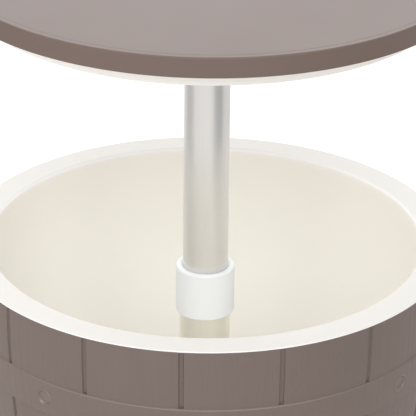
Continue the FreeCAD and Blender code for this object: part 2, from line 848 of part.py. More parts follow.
def cut_screw_holes(body, base, depth, circle, count, name):
    """A ring of screw holes, cut from a little under the base level."""
    sketch = add_sketch(body, f"{name}_ways", "XY_Plane", lift=base - overrun,
                        swing=as_size(180.0) / count)
    draw_circles(sketch, [(circle, 0.0, sizes["screw_radius"] + fit)])
    hole = cut_hole(body, sketch, f"{name}_way", depth + overrun * 2)
    repeat_round(body, f"{name}_ways_round", [hole], count)


def add_bosses(body, low, circle, count, name):
    """Screw bosses that hang from the underside of the table top."""
    sketch = add_sketch(body, f"{name}_bosses", "XY_Plane", lift=low, swing=as_size(180.0) / count)
    draw_circles(sketch, [(circle, 0.0, sizes["boss_radius"])])
    boss = raise_solid(body, sketch, f"{name}_boss", lid_ceiling - low + overrun)
    repeat_round(body, f"{name}_bosses_round", [boss], count)
    cut_screw_holes(body, low, lid_ceiling - low - overrun * 2, circle, count, name)


def make_lid_top():
    skirt = sizes["lid_radius"] - sizes["lid_skirt"]
    land = sizes["lid_radius"] - sizes["lid_edge_land"]
    shoulder = lid_top_level - sizes["lid_edge_step"]
    edge = sizes["lid_edge_round"]
    body = turned_piece("lid_top", [
        (0.0, lid_ceiling),
        (skirt, lid_ceiling),
        (skirt, band_base),
        (sizes["lid_radius"], band_base),
        (sizes["lid_radius"], shoulder - edge, edge, 1),
        (sizes["lid_radius"] - edge, shoulder),
        (land + sizes["lid_edge_slope"], shoulder),
        (land, lid_top_level),
        (0.0, lid_top_level),
    ])
    plate_top = pan_ceiling + sizes["underside_wall"]
    hub_plate_top = hub_ceiling + sizes["underside_wall"]
    add_bosses(body, plate_top, lid_screw_circle, sizes["lid_screw_count"], "rim")
    add_bosses(body, hub_plate_top, sizes["hub_screw_circle"], sizes["hub_screw_count"], "hub")


def make_lid_underside():
    """Cream pan: lip under the band, seat for the tub's rim, ring that enters its mouth."""
    wall = sizes["underside_wall"]
    corner = sizes["seat_corner"]
    plug_in = plug_ring_radius - wall
    plug_base = lid_seat - sizes["lid_plug_depth"]
    seat_edge = plug_ring_radius + (lip_radius - plug_ring_radius) * sizes["seat_share"]
    side_top = plug_ring_radius + (lip_radius - plug_ring_radius) * sizes["side_share"]
    dish = sizes["hub_radius"] + sizes["dish_gap"]
    dish_foot = dish + sizes["dish_flare"]
    body = turned_piece("lid_underside", [
        (lip_radius, band_base + wall),
        (lip_radius - wall, band_base + wall),
        (lip_radius - wall, lip_base + wall),
        (side_top - corner, lip_base + wall),
        (seat_edge - corner, lid_seat + wall),
        (plug_ring_radius, lid_seat + wall),
        (plug_in, pan_ceiling + wall),
        (dish_foot, pan_ceiling + wall),
        (dish, hub_ceiling + wall),
        (0.0, hub_ceiling + wall),
        (0.0, hub_ceiling),
        (dish, hub_ceiling),
        (dish_foot, pan_ceiling),
        (plug_in - edge_break, pan_ceiling),
        (plug_in, plug_base),
        (plug_ring_radius, plug_base),
        (plug_ring_radius + edge_break, lid_seat),
        (seat_edge - corner, lid_seat, corner, 1),
        (seat_edge, lid_seat + corner),
        (side_top, lip_base),
        (lip_radius, lip_base),
    ])
    cut_screw_holes(body, pan_ceiling, wall, lid_screw_circle, sizes["lid_screw_count"], "rim")
    cut_screw_holes(body, hub_ceiling, wall,
                    sizes["hub_screw_circle"], sizes["hub_screw_count"], "hub")


def make_screws(label, seat, length, circle, count, sides=(0.0,), turn=None):
    """Rings of screws with round heads that bear upwards on a seat, one ring for each side."""
    body = add_body(label, turn)
    base = seat - sizes["screw_head_height"]
    screws = []
    for name, radius, height in (("head", sizes["screw_head_radius"], sizes["screw_head_height"]),
                                 ("shank", sizes["screw_radius"],
                                  sizes["screw_head_height"] + length)):
        sketch = add_sketch(body, name, "XY_Plane", lift=base, swing=as_size(180.0) / count)
        draw_circles(sketch, [(circle, side, radius) for side in sides])
        screws.append(raise_solid(body, sketch, f"{name}_round", height))
    repeat_round(body, "round", screws, count)


# Legs
def leg_section(sketch, reach, depth, width):
    """Rounded rectangle across a leg: depth along the radius, width across it."""
    corner = sizes["leg_corner"]
    back, front = reach - depth / 2, reach + depth / 2
    side = width / 2
    draw_outline(sketch, [
        (back + corner, -side), (front - corner, -side, corner, 1),
        (front, -side + corner), (front, side - corner, corner, 1),
        (front - corner, side), (back + corner, side, corner, 1),
        (back, side - corner), (back, -side + corner, corner, 1),
    ])


def make_leg(label, index):
    body = add_body(label, sizes["shell_turn"] + leg_angle * (index + 0.5))
    foot = sizes["pad_thickness"]
    knee = (shell_base + foot) / 2
    knee_depth = (sizes["leg_top_depth"] + sizes["leg_foot_depth"]) / 2 - sizes["leg_waist"]
    knee_width = (sizes["leg_top_width"] + sizes["leg_foot_width"]) / 2 - sizes["leg_waist"]
    sections = []
    for name, level, reach, depth, width in (
            ("foot", foot, leg_foot_reach, sizes["leg_foot_depth"], sizes["leg_foot_width"]),
            ("knee", knee, leg_knee_reach, knee_depth, knee_width),
            ("top", shell_base, leg_top_reach, sizes["leg_top_depth"], sizes["leg_top_width"])):
        sketch = add_sketch(body, name, "XY_Plane", lift=level)
        leg_section(sketch, reach, depth, width)
        sections.append(sketch)
    post = body.newObject("PartDesign::AdditiveLoft", f"{body.Name}_post")
    post.Profile = sections[0]
    post.Sections = sections[1:]
    body.Tip = post
    thickness = sizes["leg_flange_thickness"]
    plate = add_sketch(body, "plate", "XY_Plane", lift=shell_base - thickness)
    leg_section(plate, leg_top_reach - sizes["leg_flange_reach"] / 2, sizes["leg_flange_reach"],
                sizes["leg_flange_width"])
    raise_solid(body, plate, "flange", thickness)
    ways = add_sketch(body, "ways", "XY_Plane", lift=shell_base - thickness - overrun)
    draw_circles(ways, leg_screw_circles(sizes["screw_radius"] + fit))
    cut_hole(body, ways, "screw_ways", thickness + overrun * 2)
    stem = add_sketch(body, "stem", "XY_Plane", lift=foot - overrun)
    draw_circles(stem, [(leg_foot_reach, 0.0, sizes["pad_stem_radius"] + fit)])
    cut_hole(body, stem, "stem_way", overrun + sizes["pad_stem_height"] + sizes["pad_stem_gap"])


def make_foot_pads():
    """Round pads, each held by a stem in its leg's foot."""
    body = add_body("foot_pads", sizes["shell_turn"] + leg_angle / 2)
    low = sizes["pad_radius"] - edge_break
    high = sizes["pad_thickness"] + sizes["pad_stem_height"]
    sketch = add_sketch(body, "pad", "XZ_Plane")
    draw_outline(sketch, [
        (leg_foot_reach, 0.0),
        (leg_foot_reach + low, 0.0),
        (leg_foot_reach + sizes["pad_radius"], edge_break),
        (leg_foot_reach + sizes["pad_radius"], sizes["pad_thickness"]),
        (leg_foot_reach + sizes["pad_stem_radius"], sizes["pad_thickness"]),
        (leg_foot_reach + sizes["pad_stem_radius"], high),
        (leg_foot_reach, high),
    ])
    draw_axis(sketch, (leg_foot_reach, edge_break), (leg_foot_reach, high))
    pad = turn_solid(body, sketch, "pad_round", axis="Axis0")
    repeat_round(body, "pads", [pad], sizes["leg_count"])


# Drain through both floors
def offset_turned(label, corners):
    """A piece turned about the drain's own upright axis; the outline's last corner is on top."""
    body = add_body(label, sizes["shell_turn"] + sizes["drain_turn"])
    sketch = add_sketch(body, "outline", "XZ_Plane")
    reach = sizes["drain_reach"]
    draw_outline(sketch, [(reach + corner[0],) + tuple(corner[1:]) for corner in corners])
    draw_axis(sketch, (reach, corners[0][1]), (reach, corners[-1][1]))
    turn_solid(body, sketch, "turned", axis="Axis0")


def make_drain():
    bore = sizes["drain_bore"]
    outside = bore + sizes["drain_tube_wall"]
    flange = sizes["drain_flange_radius"]
    slope = sizes["drain_flange_slope"]
    gasket_top = liner_floor + sizes["seal_thickness"]
    flange_top = gasket_top + sizes["drain_flange_height"]
    tail = shell_base - sizes["drain_tail"]
    offset_turned("drain_gasket", washer_outline(outside + fit, flange, liner_floor, gasket_top))
    offset_turned("drain_body", [
        (bore, tail),
        (outside, tail),
        (outside, gasket_top),
        (flange, gasket_top),
        (flange, flange_top - slope),
        (flange - slope, flange_top),
        (bore, flange_top),
    ])
    nut_base = shell_base - sizes["drain_nut_height"]
    offset_turned("drain_nut", [
        (outside + fit, nut_base),
        (flange - slope, nut_base),
        (flange, nut_base + slope),
        (flange, shell_base),
        (outside + fit, shell_base),
    ])
    head = sizes["drain_plug_head"]
    rim = sizes["drain_plug_rim"]
    neck = head - sizes["drain_plug_neck"]
    head_top = tail - seat_gap
    head_base = head_top - sizes["drain_plug_grip"]
    offset_turned("drain_plug", [
        (0.0, head_base),
        (neck, head_base),
        (head, head_base + rim),
        (neck, head_base + rim * 2),
        (neck, head_top - rim),
        (head, head_top),
        (bore - fit, head_top),
        (bore - fit, gasket_top - edge_break),
        (bore - fit - edge_break, gasket_top),
        (0.0, gasket_top),
    ])


LEG_LABELS = ("leg_back_right", "leg_back_left", "leg_front_left", "leg_front_right")


def check_model():
    """Stop before writing anything if a feature failed or a shape isn't sound."""
    doc.recompute()
    for item in doc.Objects:
        if "Invalid" in item.State or "Error" in item.State:
            raise RuntimeError(f"{item.Name} did not compute: {item.State}")
    for body in nodes:
        if body.Shape.isNull() or not body.Shape.isValid():
            raise RuntimeError(f"{body.Label} has no sound shape")


def export_nodes():
    os.makedirs("parts", exist_ok=True)
    for body in nodes:
        body.Shape.exportStep(os.path.join("parts", body.Label + ".step"))
        print(f"{body.Label}: {len(body.Shape.Solids)} solids, {body.Shape.Volume / 1000:.1f} cm3")


make_shell()
make_liner()
make_outer_tube()
make_pole_bolt()
make_guide_collar()
make_inner_tube()
make_twist_lock()
make_lid_hub()
make_lid_top()
make_lid_underside()
make_screws("lid_screws", pan_ceiling, sizes["lid_screw_length"],
            lid_screw_circle, sizes["lid_screw_count"])
make_screws("hub_screws", hub_base, sizes["hub_screw_length"],
            sizes["hub_screw_circle"], sizes["hub_screw_count"])
for leg_index, leg_label in enumerate(LEG_LABELS):
    make_leg(leg_label, leg_index)
leg_screw_length = (sizes["leg_flange_thickness"] + sizes["shell_wall"]
                    + sizes["leg_boss_height"] - sizes["leg_screw_tip_gap"])
make_screws("leg_screws", shell_base - sizes["leg_flange_thickness"], leg_screw_length,
            leg_screw_reach, sizes["leg_count"],
            sides=(sizes["leg_screw_side"], -sizes["leg_screw_side"]), turn=sizes["shell_turn"])
make_foot_pads()
make_drain()
check_model()
export_nodes()
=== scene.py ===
# %% [markdown]
# A cooler table: a half-barrel tub of staved resin with a cream liner, and a round table
# top that is also its lid. The top stands on a telescoping aluminium pole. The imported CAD
# model is the frame, so every piece made here already has its place, in metres. Sizes
# are read from the frame where a node's box gives them, and written once elsewhere.

# %% Load the frame
import functools
import json
import math

import bmesh
import bpy
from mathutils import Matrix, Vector


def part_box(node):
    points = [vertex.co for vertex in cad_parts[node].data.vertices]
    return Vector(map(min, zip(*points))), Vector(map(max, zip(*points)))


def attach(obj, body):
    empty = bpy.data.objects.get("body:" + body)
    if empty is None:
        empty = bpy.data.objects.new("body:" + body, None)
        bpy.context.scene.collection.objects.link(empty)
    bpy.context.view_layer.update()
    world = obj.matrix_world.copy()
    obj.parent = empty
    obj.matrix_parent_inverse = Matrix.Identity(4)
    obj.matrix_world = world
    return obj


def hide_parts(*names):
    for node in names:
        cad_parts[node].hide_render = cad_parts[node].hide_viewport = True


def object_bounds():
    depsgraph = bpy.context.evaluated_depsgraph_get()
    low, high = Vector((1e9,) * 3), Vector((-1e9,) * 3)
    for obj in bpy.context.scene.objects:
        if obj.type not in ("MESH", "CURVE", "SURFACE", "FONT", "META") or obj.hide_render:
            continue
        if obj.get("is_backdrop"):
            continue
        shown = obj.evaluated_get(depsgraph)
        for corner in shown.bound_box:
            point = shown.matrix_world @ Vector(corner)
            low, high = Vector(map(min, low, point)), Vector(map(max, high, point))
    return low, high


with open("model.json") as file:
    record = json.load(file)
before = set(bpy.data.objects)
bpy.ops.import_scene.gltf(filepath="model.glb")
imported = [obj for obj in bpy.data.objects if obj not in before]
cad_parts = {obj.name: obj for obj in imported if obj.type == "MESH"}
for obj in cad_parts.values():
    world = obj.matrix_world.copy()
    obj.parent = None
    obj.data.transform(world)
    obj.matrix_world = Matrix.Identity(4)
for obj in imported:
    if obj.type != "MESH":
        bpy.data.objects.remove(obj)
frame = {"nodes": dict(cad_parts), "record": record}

cad_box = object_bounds()

# %% Units and levels
MM = 0.001
LID_BAND = 19.3 * MM
rim_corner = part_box("inner_liner")[1]
lid_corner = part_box("lid_top")[1]
RIM_TOP, RIM_RADIUS = rim_corner.z, rim_corner.x
LID_TOP, LID_RADIUS = lid_corner.z, lid_corner.x
LID_BASE = LID_TOP - LID_BAND
print("rim:", round(RIM_TOP, 4), "m high, radius", round(RIM_RADIUS, 4))
print("table top:", round(LID_TOP, 4), "m high, radius", round(LID_RADIUS, 4))

# %% [markdown]
# The camera comes first. It was fitted to the ellipses of the lid, the rim and the
# collar: a long lens, about 25 degrees above, aimed a little over the rim, and leaning by
# less than a degree.

# %% Camera
CAMERA_LENS = 253.57
CAMERA_PLACE = Vector((0.0019, -2.5526, RIM_TOP + 1.2436))
CAMERA_TILT = math.radians(64.58)
CAMERA_ROLL = 0.01165


def add_object(name, data):
    """A new object in the scene that holds a camera, a lamp or a mesh."""
    item = bpy.data.objects.new(name, data)
    bpy.context.collection.objects.link(item)
    return item


def add_mesh(name, points, edges, faces):
    mesh = bpy.data.meshes.new(name)
    mesh.from_pydata(points, edges, faces)
    return add_object(name, mesh)


def add_camera():
    camera = add_object("camera", bpy.data.cameras.new("camera"))
    camera.data.lens = CAMERA_LENS
    camera.data.clip_end = 50.0
    camera.rotation_mode = "XYZ"
    camera.location = CAMERA_PLACE
    camera.rotation_euler = (CAMERA_TILT, 0.0, 0.0)
    camera.rotation_euler.rotate_axis("Z", CAMERA_ROLL)
    bpy.context.scene.camera = camera
    return camera


camera = add_camera()
print("camera at", [round(value, 3) for value in camera.location])

# %% [markdown]
# The studio is a white tent: a pale floor that runs out of sight, an even world, and large
# soft lamps in front, behind and to the left. What the camera and the metal see of the tent
# is plain white through the Light Path node, so no extra light has to fall on the object to
# whiten the picture, and the floor still keeps the object's shadow. Seen from below, the
# floor is clear, so that the feet and the drain show too.
#
# Node trees are long when each node, setting and link takes a line of its own. So a few
# helpers come first: one adds a node with all its inputs, one does a step of arithmetic and
# one carries a value from one span over to another.

# %% Small helpers for node trees
def feed(tree, socket, value):
    """Links a socket to the one given, or sets it to a plain value."""
    if isinstance(value, bpy.types.NodeSocket):
        tree.links.new(value, socket)
    else:
        socket.default_value = value


def add_node(tree, kind, settings=None, **inputs):
    """A node with its settings and inputs. An input goes by its name, or i0, i1 and so on."""
    node = tree.nodes.new(kind)
    for name, value in (settings or {}).items():
        setattr(node, name, value)
    for name, value in inputs.items():
        numbered = name[0] == "i" and name[1:].isdigit()
        feed(tree, node.inputs[int(name[1:]) if numbered else name.replace("_", " ")], value)
    return node


def calculate(tree, operation, *values):
    """One step of arithmetic in a node tree."""
    node = add_node(tree, "ShaderNodeMath", {"operation": operation})
    for socket, value in zip(node.inputs, values):
        feed(tree, socket, value)
    return node.outputs[0]


def sums(tree):
    """Short functions for the four sums in one tree."""
    return [functools.partial(calculate, tree, kind)
            for kind in ("ADD", "SUBTRACT", "MULTIPLY", "DIVIDE")]


def remap(tree, value, start=0.0, end=1.0, low=0.0, high=1.0):
    """Carries start to end over to low to high, and holds the value at both ends."""
    return add_node(tree, "ShaderNodeMapRange", i0=value, i1=start, i2=end, i3=low,
                    i4=high).outputs[0]


def white_to_the_eye(tree):
    """1 for rays from the camera, or that metal and glass pass on, and 0 for light."""
    path = tree.nodes.new("ShaderNodeLightPath")
    seen = calculate(tree, "MAXIMUM", path.outputs["Is Camera Ray"], path.outputs["Is Glossy Ray"])
    return calculate(tree, "MAXIMUM", seen, path.outputs["Is Transmission Ray"])


# %% World
WORLD_LIGHT = 0.79


def make_world():
    world = bpy.data.worlds.new("white tent")
    world.use_nodes = True
    tree = world.node_tree
    tree.nodes.clear()
    strength = remap(tree, white_to_the_eye(tree), low=WORLD_LIGHT)
    light = add_node(tree, "ShaderNodeBackground", Color=(1.0, 1.0, 1.0, 1.0),
                     Strength=strength)
    add_node(tree, "ShaderNodeOutputWorld", Surface=light.outputs[0])
    bpy.context.scene.world = world


make_world()
bpy.context.scene.view_settings.view_transform = "Standard"
print("world light", WORLD_LIGHT)

# %% Floor
FLOOR_SIZE = 40.0
FLOOR_COLOUR = (0.78, 0.78, 0.78, 1.0)
FLOOR_GLOW = 0.32


def level_corners(half, height):
    """The corners of a level square about the pole, from half its side."""
    return [(half * x, half * y, height) for x, y in ((-1, -1), (1, -1), (1, 1), (-1, 1))]


def add_sheet(name, corners):
    """A flat four-cornered sheet."""
    return add_mesh(name, corners, [], [(0, 1, 2, 3)])


def make_floor():
    floor = add_sheet("floor", level_corners(FLOOR_SIZE / 2, 0.0))
    material = bpy.data.materials.new("white floor")
    material.use_nodes = True
    tree = material.node_tree
    tree.nodes.clear()
    matte = add_node(tree, "ShaderNodeBsdfDiffuse", Color=FLOOR_COLOUR)
    glow_strength = calculate(tree, "MULTIPLY", white_to_the_eye(tree), FLOOR_GLOW)
    glow = add_node(tree, "ShaderNodeEmission", Strength=glow_strength)
    both = add_node(tree, "ShaderNodeAddShader", i0=matte.outputs[0], i1=glow.outputs[0])
    path = tree.nodes.new("ShaderNodeLightPath")
    facing = tree.nodes.new("ShaderNodeNewGeometry")
    from_below = calculate(tree, "MULTIPLY", path.outputs["Is Camera Ray"],
                           facing.outputs["Backfacing"])
    clear = tree.nodes.new("ShaderNodeBsdfTransparent")
    one_sided = add_node(tree, "ShaderNodeMixShader", i0=from_below, i1=both.outputs[0],
                         i2=clear.outputs[0])
    add_node(tree, "ShaderNodeOutputMaterial", Surface=one_sided.outputs[0])
    floor.data.materials.append(material)
    floor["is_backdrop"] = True
    return floor


floor = make_floor()
print("floor", FLOOR_SIZE, "m across")

# %% [markdown]
# Each lamp is a wide soft box aimed at the object. The front one is high, so that it shines
# in under the table top and down into the tub. The left one is low and only brightens the
# staves: metal would show it as a streak, so reflections don't see it.

# %% Lamps
AIM = Vector((0.0, 0.0, 0.55))
LAMP_REACH = 3.4
LAMP_HEIGHT = 1.0
LAMPS = {
    "front": {"azimuth": 0.0, "elevation": 36.0, "width": 4.6, "watts": 60.0},
    "back": {"azimuth": 180.0, "elevation": 28.0, "width": 2.4, "watts": 26.0},
    "back left": {"azimuth": -130.0, "elevation": 28.0, "width": 2.4, "watts": 17.0},
    "left": {"azimuth": -75.0, "elevation": -6.0, "width": 2.4, "watts": 26.0},
}
NOT_MIRRORED = ("left",)


def turn_round(azimuth):
    """A level direction; azimuth is in degrees from the camera's side, right is positive."""
    angle = math.radians(azimuth)
    return Vector((math.sin(angle), -math.cos(angle), 0.0))


def add_lamp(name, azimuth, elevation, width, watts):
    light = bpy.data.lights.new(name, "AREA")
    light.shape = "RECTANGLE"
    light.size, light.size_y = width, LAMP_HEIGHT
    light.energy = watts
    lamp = add_object(name, light)
    lamp.visible_glossy = name not in NOT_MIRRORED
    rise = math.radians(elevation)
    lamp.location = AIM + LAMP_REACH * (turn_round(azimuth) * math.cos(rise)
                                        + Vector((0.0, 0.0, math.sin(rise))))
    lamp.rotation_euler = (AIM - lamp.location).to_track_quat("-Z", "Y").to_euler()
    return lamp


lamps = [add_lamp(name, **facts) for name, facts in LAMPS.items()]
print("lamps:", [lamp.name for lamp in lamps])

# %% [markdown]
# Metal only shows what stands round it, so a photographer shades it with cards. Two upright
# cards give the pole its soft grey streaks, and a warm sheet on the floor keeps it from
# turning plain white. Only reflections see them: they block no light, and no camera finds
# them in its way.

# %% Cards
CARD_HEIGHT = 1.1
CARD_ROUGHNESS = 0.9
CARDS = {
    "right card": {"azimuth": 60.0, "reach": 1.15, "width": 1.05, "grey": 0.38},
    "left card": {"azimuth": -94.0, "reach": 1.3, "width": 1.3, "grey": 0.52},
}
SHEET_HALF = 2.6
SHEET_HEIGHT = 1.0 * MM
SHEET_COLOUR = (0.70, 0.665, 0.65)


def start_finish(name, colour, roughness, **constants):
    """A Principled material with plain settings; returns it with its tree and shader."""
    material = bpy.data.materials.new(name)
    material.use_nodes = True
    material.diffuse_color = (*colour, 1.0)
    tree = material.node_tree
    shader = tree.nodes["Principled BSDF"]
    shader.inputs["Base Color"].default_value = (*colour, 1.0)
    shader.inputs["Roughness"].default_value = roughness
    for socket, value in constants.items():
        shader.inputs[socket.replace("_", " ")].default_value = value
    return material, tree, shader


def add_reflected(name, corners, colour):
    """A matt sheet that only reflections see."""
    card = add_sheet(name, corners)
    card.data.materials.append(start_finish(name, colour, CARD_ROUGHNESS)[0])
    card.visible_camera = False
    card.visible_diffuse = False
    card.visible_shadow = False
    card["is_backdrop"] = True
    return card


def add_card(name, azimuth, reach, width, grey):
    middle = turn_round(azimuth) * reach
    side = turn_round(azimuth + 90.0) * (width / 2)
    top = Vector((0.0, 0.0, CARD_HEIGHT))
    corners = [middle - side, middle + side, middle + side + top, middle - side + top]
    return add_reflected(name, corners, (grey, grey, grey))


cards = [add_card(name, **facts) for name, facts in CARDS.items()]
sheet = add_reflected("floor sheet", level_corners(SHEET_HALF, SHEET_HEIGHT), SHEET_COLOUR)
print("cards:", [card.name for card in cards + [sheet]])

# %% [markdown]
# Each finish of the object is a small node tree. All start from Object coordinates, in metres,
# so a grain or a speckle keeps its size on every piece and stays put when a piece moves.
# A moulded grain is noise stretched along the height: fine across, long up and down.

# %% Noise, tint, gloss and relief
def object_place(tree):
    """A point's place on its object, in three separate numbers: across, back and up."""
    place = tree.nodes.new("ShaderNodeTexCoord")
    return add_node(tree, "ShaderNodeSeparateXYZ", i0=place.outputs["Object"]).outputs


def stretched_noise(tree, scale, detail, stretch=(1.0, 1.0, 1.0), roughness=0.5):
    """Noise on Object coordinates; a small stretch factor makes it long that way."""
    place = tree.nodes.new("ShaderNodeTexCoord")
    mapping = add_node(tree, "ShaderNodeMapping", Vector=place.outputs["Object"], Scale=stretch)
    noise = add_node(tree, "ShaderNodeTexNoise", Vector=mapping.outputs[0], Scale=scale,
                     Detail=detail, Roughness=roughness)
    return noise.outputs["Fac"]


def mix_colours(tree, share, first, second):
    """A blend of two colours, each of them plain or a socket."""
    return add_node(tree, "ShaderNodeMix", {"data_type": "RGBA"}, i0=share, i6=first,
                    i7=second).outputs[2]


def tint(tree, shader, noise, dark, light):
    """Colour that drifts between two tones with a noise."""
    drift = mix_colours(tree, noise, (*dark, 1.0), (*light, 1.0))
    tree.links.new(drift, shader.inputs["Base Color"])


def vary_roughness(tree, shader, noise, low, high):
    tree.links.new(remap(tree, noise, low=low, high=high), shader.inputs["Roughness"])


def emboss(tree, shader, height, depth, before=None):
    """Bump of a real depth in metres; returns its normal so that another can follow."""
    bump = add_node(tree, "ShaderNodeBump", Height=height, Distance=depth, Strength=1.0)
    if before is not None:
        tree.links.new(before, bump.inputs["Normal"])
    tree.links.new(bump.outputs[0], shader.inputs["Normal"])
    return bump.outputs[0]


def shade(colour, factor):
    return tuple(value * factor for value in colour)


# %% [markdown]
# The warm grey resin of the staves and the top is matt, and moulded with a shallow wood
# grain on the staves. Two sizes of grain are layered: broad figure that only tints the
# colour, and fine embossed lines that catch the light. A fine pebble keeps it from
# looking like paint. The top's grey is painted darker than the staves' grey, as painted
# shade against the stronger light on the table top. The hoops are a little paler. A
# painted highlight runs in a thin pale line along their upper edges at the front, and it
# fades out towards both sides.

# %% Warm grey resins
HOOP_TOPS = {"upper": RIM_TOP - 60.0 * MM, "lower": RIM_TOP - 292.0 * MM}
# Painted highlight: a thin pale line along each hoop's upper edge, fading out towards both sides.
PAINTED_HIGHLIGHT_MIDDLE = 1.0 * MM
PAINTED_HIGHLIGHT_HALF = 0.4 * MM
PAINTED_HIGHLIGHT_FADE = 0.2 * MM
PAINTED_HIGHLIGHT_GREY = (0.215, 0.173, 0.157)
HIGHLIGHT_FADES_TO_THE_LEFT = (-0.185, -0.115)
HIGHLIGHT_FADES_TO_THE_RIGHT = (0.17, 0.08)
HOOP_PALENESS = 1.04
WARM_GREY = (0.1555, 0.1172, 0.1015)
# Painted shade: the table top's grey is darker than the staves' grey, against the stronger light
# on the top.
SHADED_TOP_GREY = (0.148, 0.1025, 0.0875)


def make_stave_resin(name, colour):
    material, tree, shader = start_finish(name, colour, roughness=0.45)
    figure = stretched_noise(tree, scale=26.0, detail=3.0, stretch=(1.0, 1.0, 0.12))
    grain = stretched_noise(tree, scale=190.0, detail=3.0, stretch=(1.0, 1.0, 0.03),
                            roughness=0.55)
    pebble = stretched_noise(tree, scale=1500.0, detail=1.0)
    tint(tree, shader, figure, shade(colour, 0.95), shade(colour, 1.05))
    vary_roughness(tree, shader, grain, low=0.38, high=0.52)
    first = emboss(tree, shader, grain, depth=0.8 * MM)
    emboss(tree, shader, pebble, depth=0.03 * MM, before=first)
    return material


def make_top_resin():
    material, tree, shader = start_finish("top resin", SHADED_TOP_GREY, roughness=0.48)
    cloud = stretched_noise(tree, scale=9.0, detail=2.0)
    pebble = stretched_noise(tree, scale=1300.0, detail=2.0)
    tint(tree, shader, cloud, shade(SHADED_TOP_GREY, 0.985), shade(SHADED_TOP_GREY, 1.015))
    vary_roughness(tree, shader, cloud, low=0.44, high=0.5)
    emboss(tree, shader, pebble, depth=0.02 * MM)
    return material


def make_hoop_resin():
    """The stave resin, a little paler, with a painted highlight in a thin line along the upper
    edges.

    A pair of places across says where the highlight has ended and where it is full.
    """
    material = make_stave_resin("hoop resin", shade(WARM_GREY, HOOP_PALENESS))
    tree = material.node_tree
    shader = tree.nodes["Principled BSDF"]
    body = shader.inputs["Base Color"].links[0].from_socket
    across, _, height = object_place(tree)
    highlight_across = calculate(tree, "MULTIPLY", remap(tree, across, *HIGHLIGHT_FADES_TO_THE_RIGHT),
                     remap(tree, across, *HIGHLIGHT_FADES_TO_THE_LEFT))
    highlight_band = 0.0
    for top in HOOP_TOPS.values():
        away = calculate(tree, "SUBTRACT", top - PAINTED_HIGHLIGHT_MIDDLE, height)
        near = remap(tree, calculate(tree, "ABSOLUTE", away), PAINTED_HIGHLIGHT_HALF,
                     PAINTED_HIGHLIGHT_HALF - PAINTED_HIGHLIGHT_FADE)
        highlight_band = calculate(tree, "MAXIMUM", highlight_band, near)
    highlighted = mix_colours(tree, calculate(tree, "MULTIPLY", highlight_band, highlight_across), body,
                        (*PAINTED_HIGHLIGHT_GREY, 1.0))
    tree.links.new(highlighted, shader.inputs["Base Color"])
    return material


stave_resin = make_stave_resin("stave resin", WARM_GREY)
hoop_resin = make_hoop_resin()
top_resin = make_top_resin()
print("made", [item.name for item in (stave_resin, hoop_resin, top_resin)])

# %% [markdown]
# The liner, the lid's underside and the collar are smooth pale mouldings, so a trace of
# unevenness in the gloss is enough. Light bounces between the liner's walls and warms the
# cream. The liner's colour also paints light and shade by the depth below the rim. It is a ramp
# with stops for the flat of the rim, greyed as painted shade, for its white lip, painted
# light over the shade of its rounding, for the upper wall, and for the paler floor of the
# bowl, painted light in the depths. The rivets are the grey of the staves with more gloss,
# so that their hollows catch a bright edge.

# %% Pale resins and nylon
CREAM = (0.895, 0.865, 0.815)
UPPER_CREAM = (0.94, 0.908, 0.842)
# Painted light and shade: the floor of the bowl paler, the lip whiter over the shade of its
# rounding, the flat of the rim greyer.
PAINTED_LIGHT_DEEP_CREAM = (0.99, 0.974, 0.922)
PAINTED_LIGHT_LIP_WHITE = (0.945, 0.928, 0.907)
PAINTED_SHADE_RIM_CREAM = (0.768, 0.752, 0.722)
LINER_LIGHT_AND_SHADE_STOPS = [(170.0 * MM, PAINTED_LIGHT_DEEP_CREAM), (5.6 * MM, UPPER_CREAM), (3.4 * MM, PAINTED_LIGHT_LIP_WHITE),
               (0.8 * MM, PAINTED_LIGHT_LIP_WHITE), (0.15 * MM, PAINTED_SHADE_RIM_CREAM)]
MATT_RIM = (3.0 * MM, 0.3 * MM)
WHITE_NYLON = (0.83, 0.85, 0.87)
DARK_NYLON = (0.016, 0.016, 0.017)
RUBBER = (0.035, 0.035, 0.036)


def make_smooth_moulding(name, colour, roughness, pebble_depth, **constants):
    material, tree, shader = start_finish(name, colour, roughness, **constants)
    cloud = stretched_noise(tree, scale=12.0, detail=2.0)
    pebble = stretched_noise(tree, scale=900.0, detail=2.0)
    tint(tree, shader, cloud, shade(colour, 0.985), colour)
    vary_roughness(tree, shader, cloud, low=roughness - 0.03, high=roughness + 0.05)
    emboss(tree, shader, pebble, pebble_depth)
    return material


def make_liner_resin():
    """One moulding in several creams by the depth below the top of the rim, which paint light and
    shade.
    """
    material, tree, shader = start_finish("liner resin", UPPER_CREAM, roughness=0.5)
    height = object_place(tree)[2]
    deepest = LINER_LIGHT_AND_SHADE_STOPS[0][0]
    ramp = add_node(tree, "ShaderNodeValToRGB",
                    i0=remap(tree, height, RIM_TOP - deepest, RIM_TOP))
    stops = ramp.color_ramp.elements
    while len(stops) < len(LINER_LIGHT_AND_SHADE_STOPS):
        stops.new(1.0)
    for stop, (depth, colour) in zip(stops, LINER_LIGHT_AND_SHADE_STOPS):
        stop.position = 1.0 - depth / deepest
        stop.color = (*colour, 1.0)
    tree.links.new(ramp.outputs["Color"], shader.inputs["Base Color"])
    pebble = stretched_noise(tree, scale=900.0, detail=2.0)
    on_rim = remap(tree, height, *(RIM_TOP - depth for depth in MATT_RIM))
    vary_roughness(tree, shader, on_rim, low=0.42, high=0.6)
    emboss(tree, shader, pebble, depth=0.012 * MM)
    return material


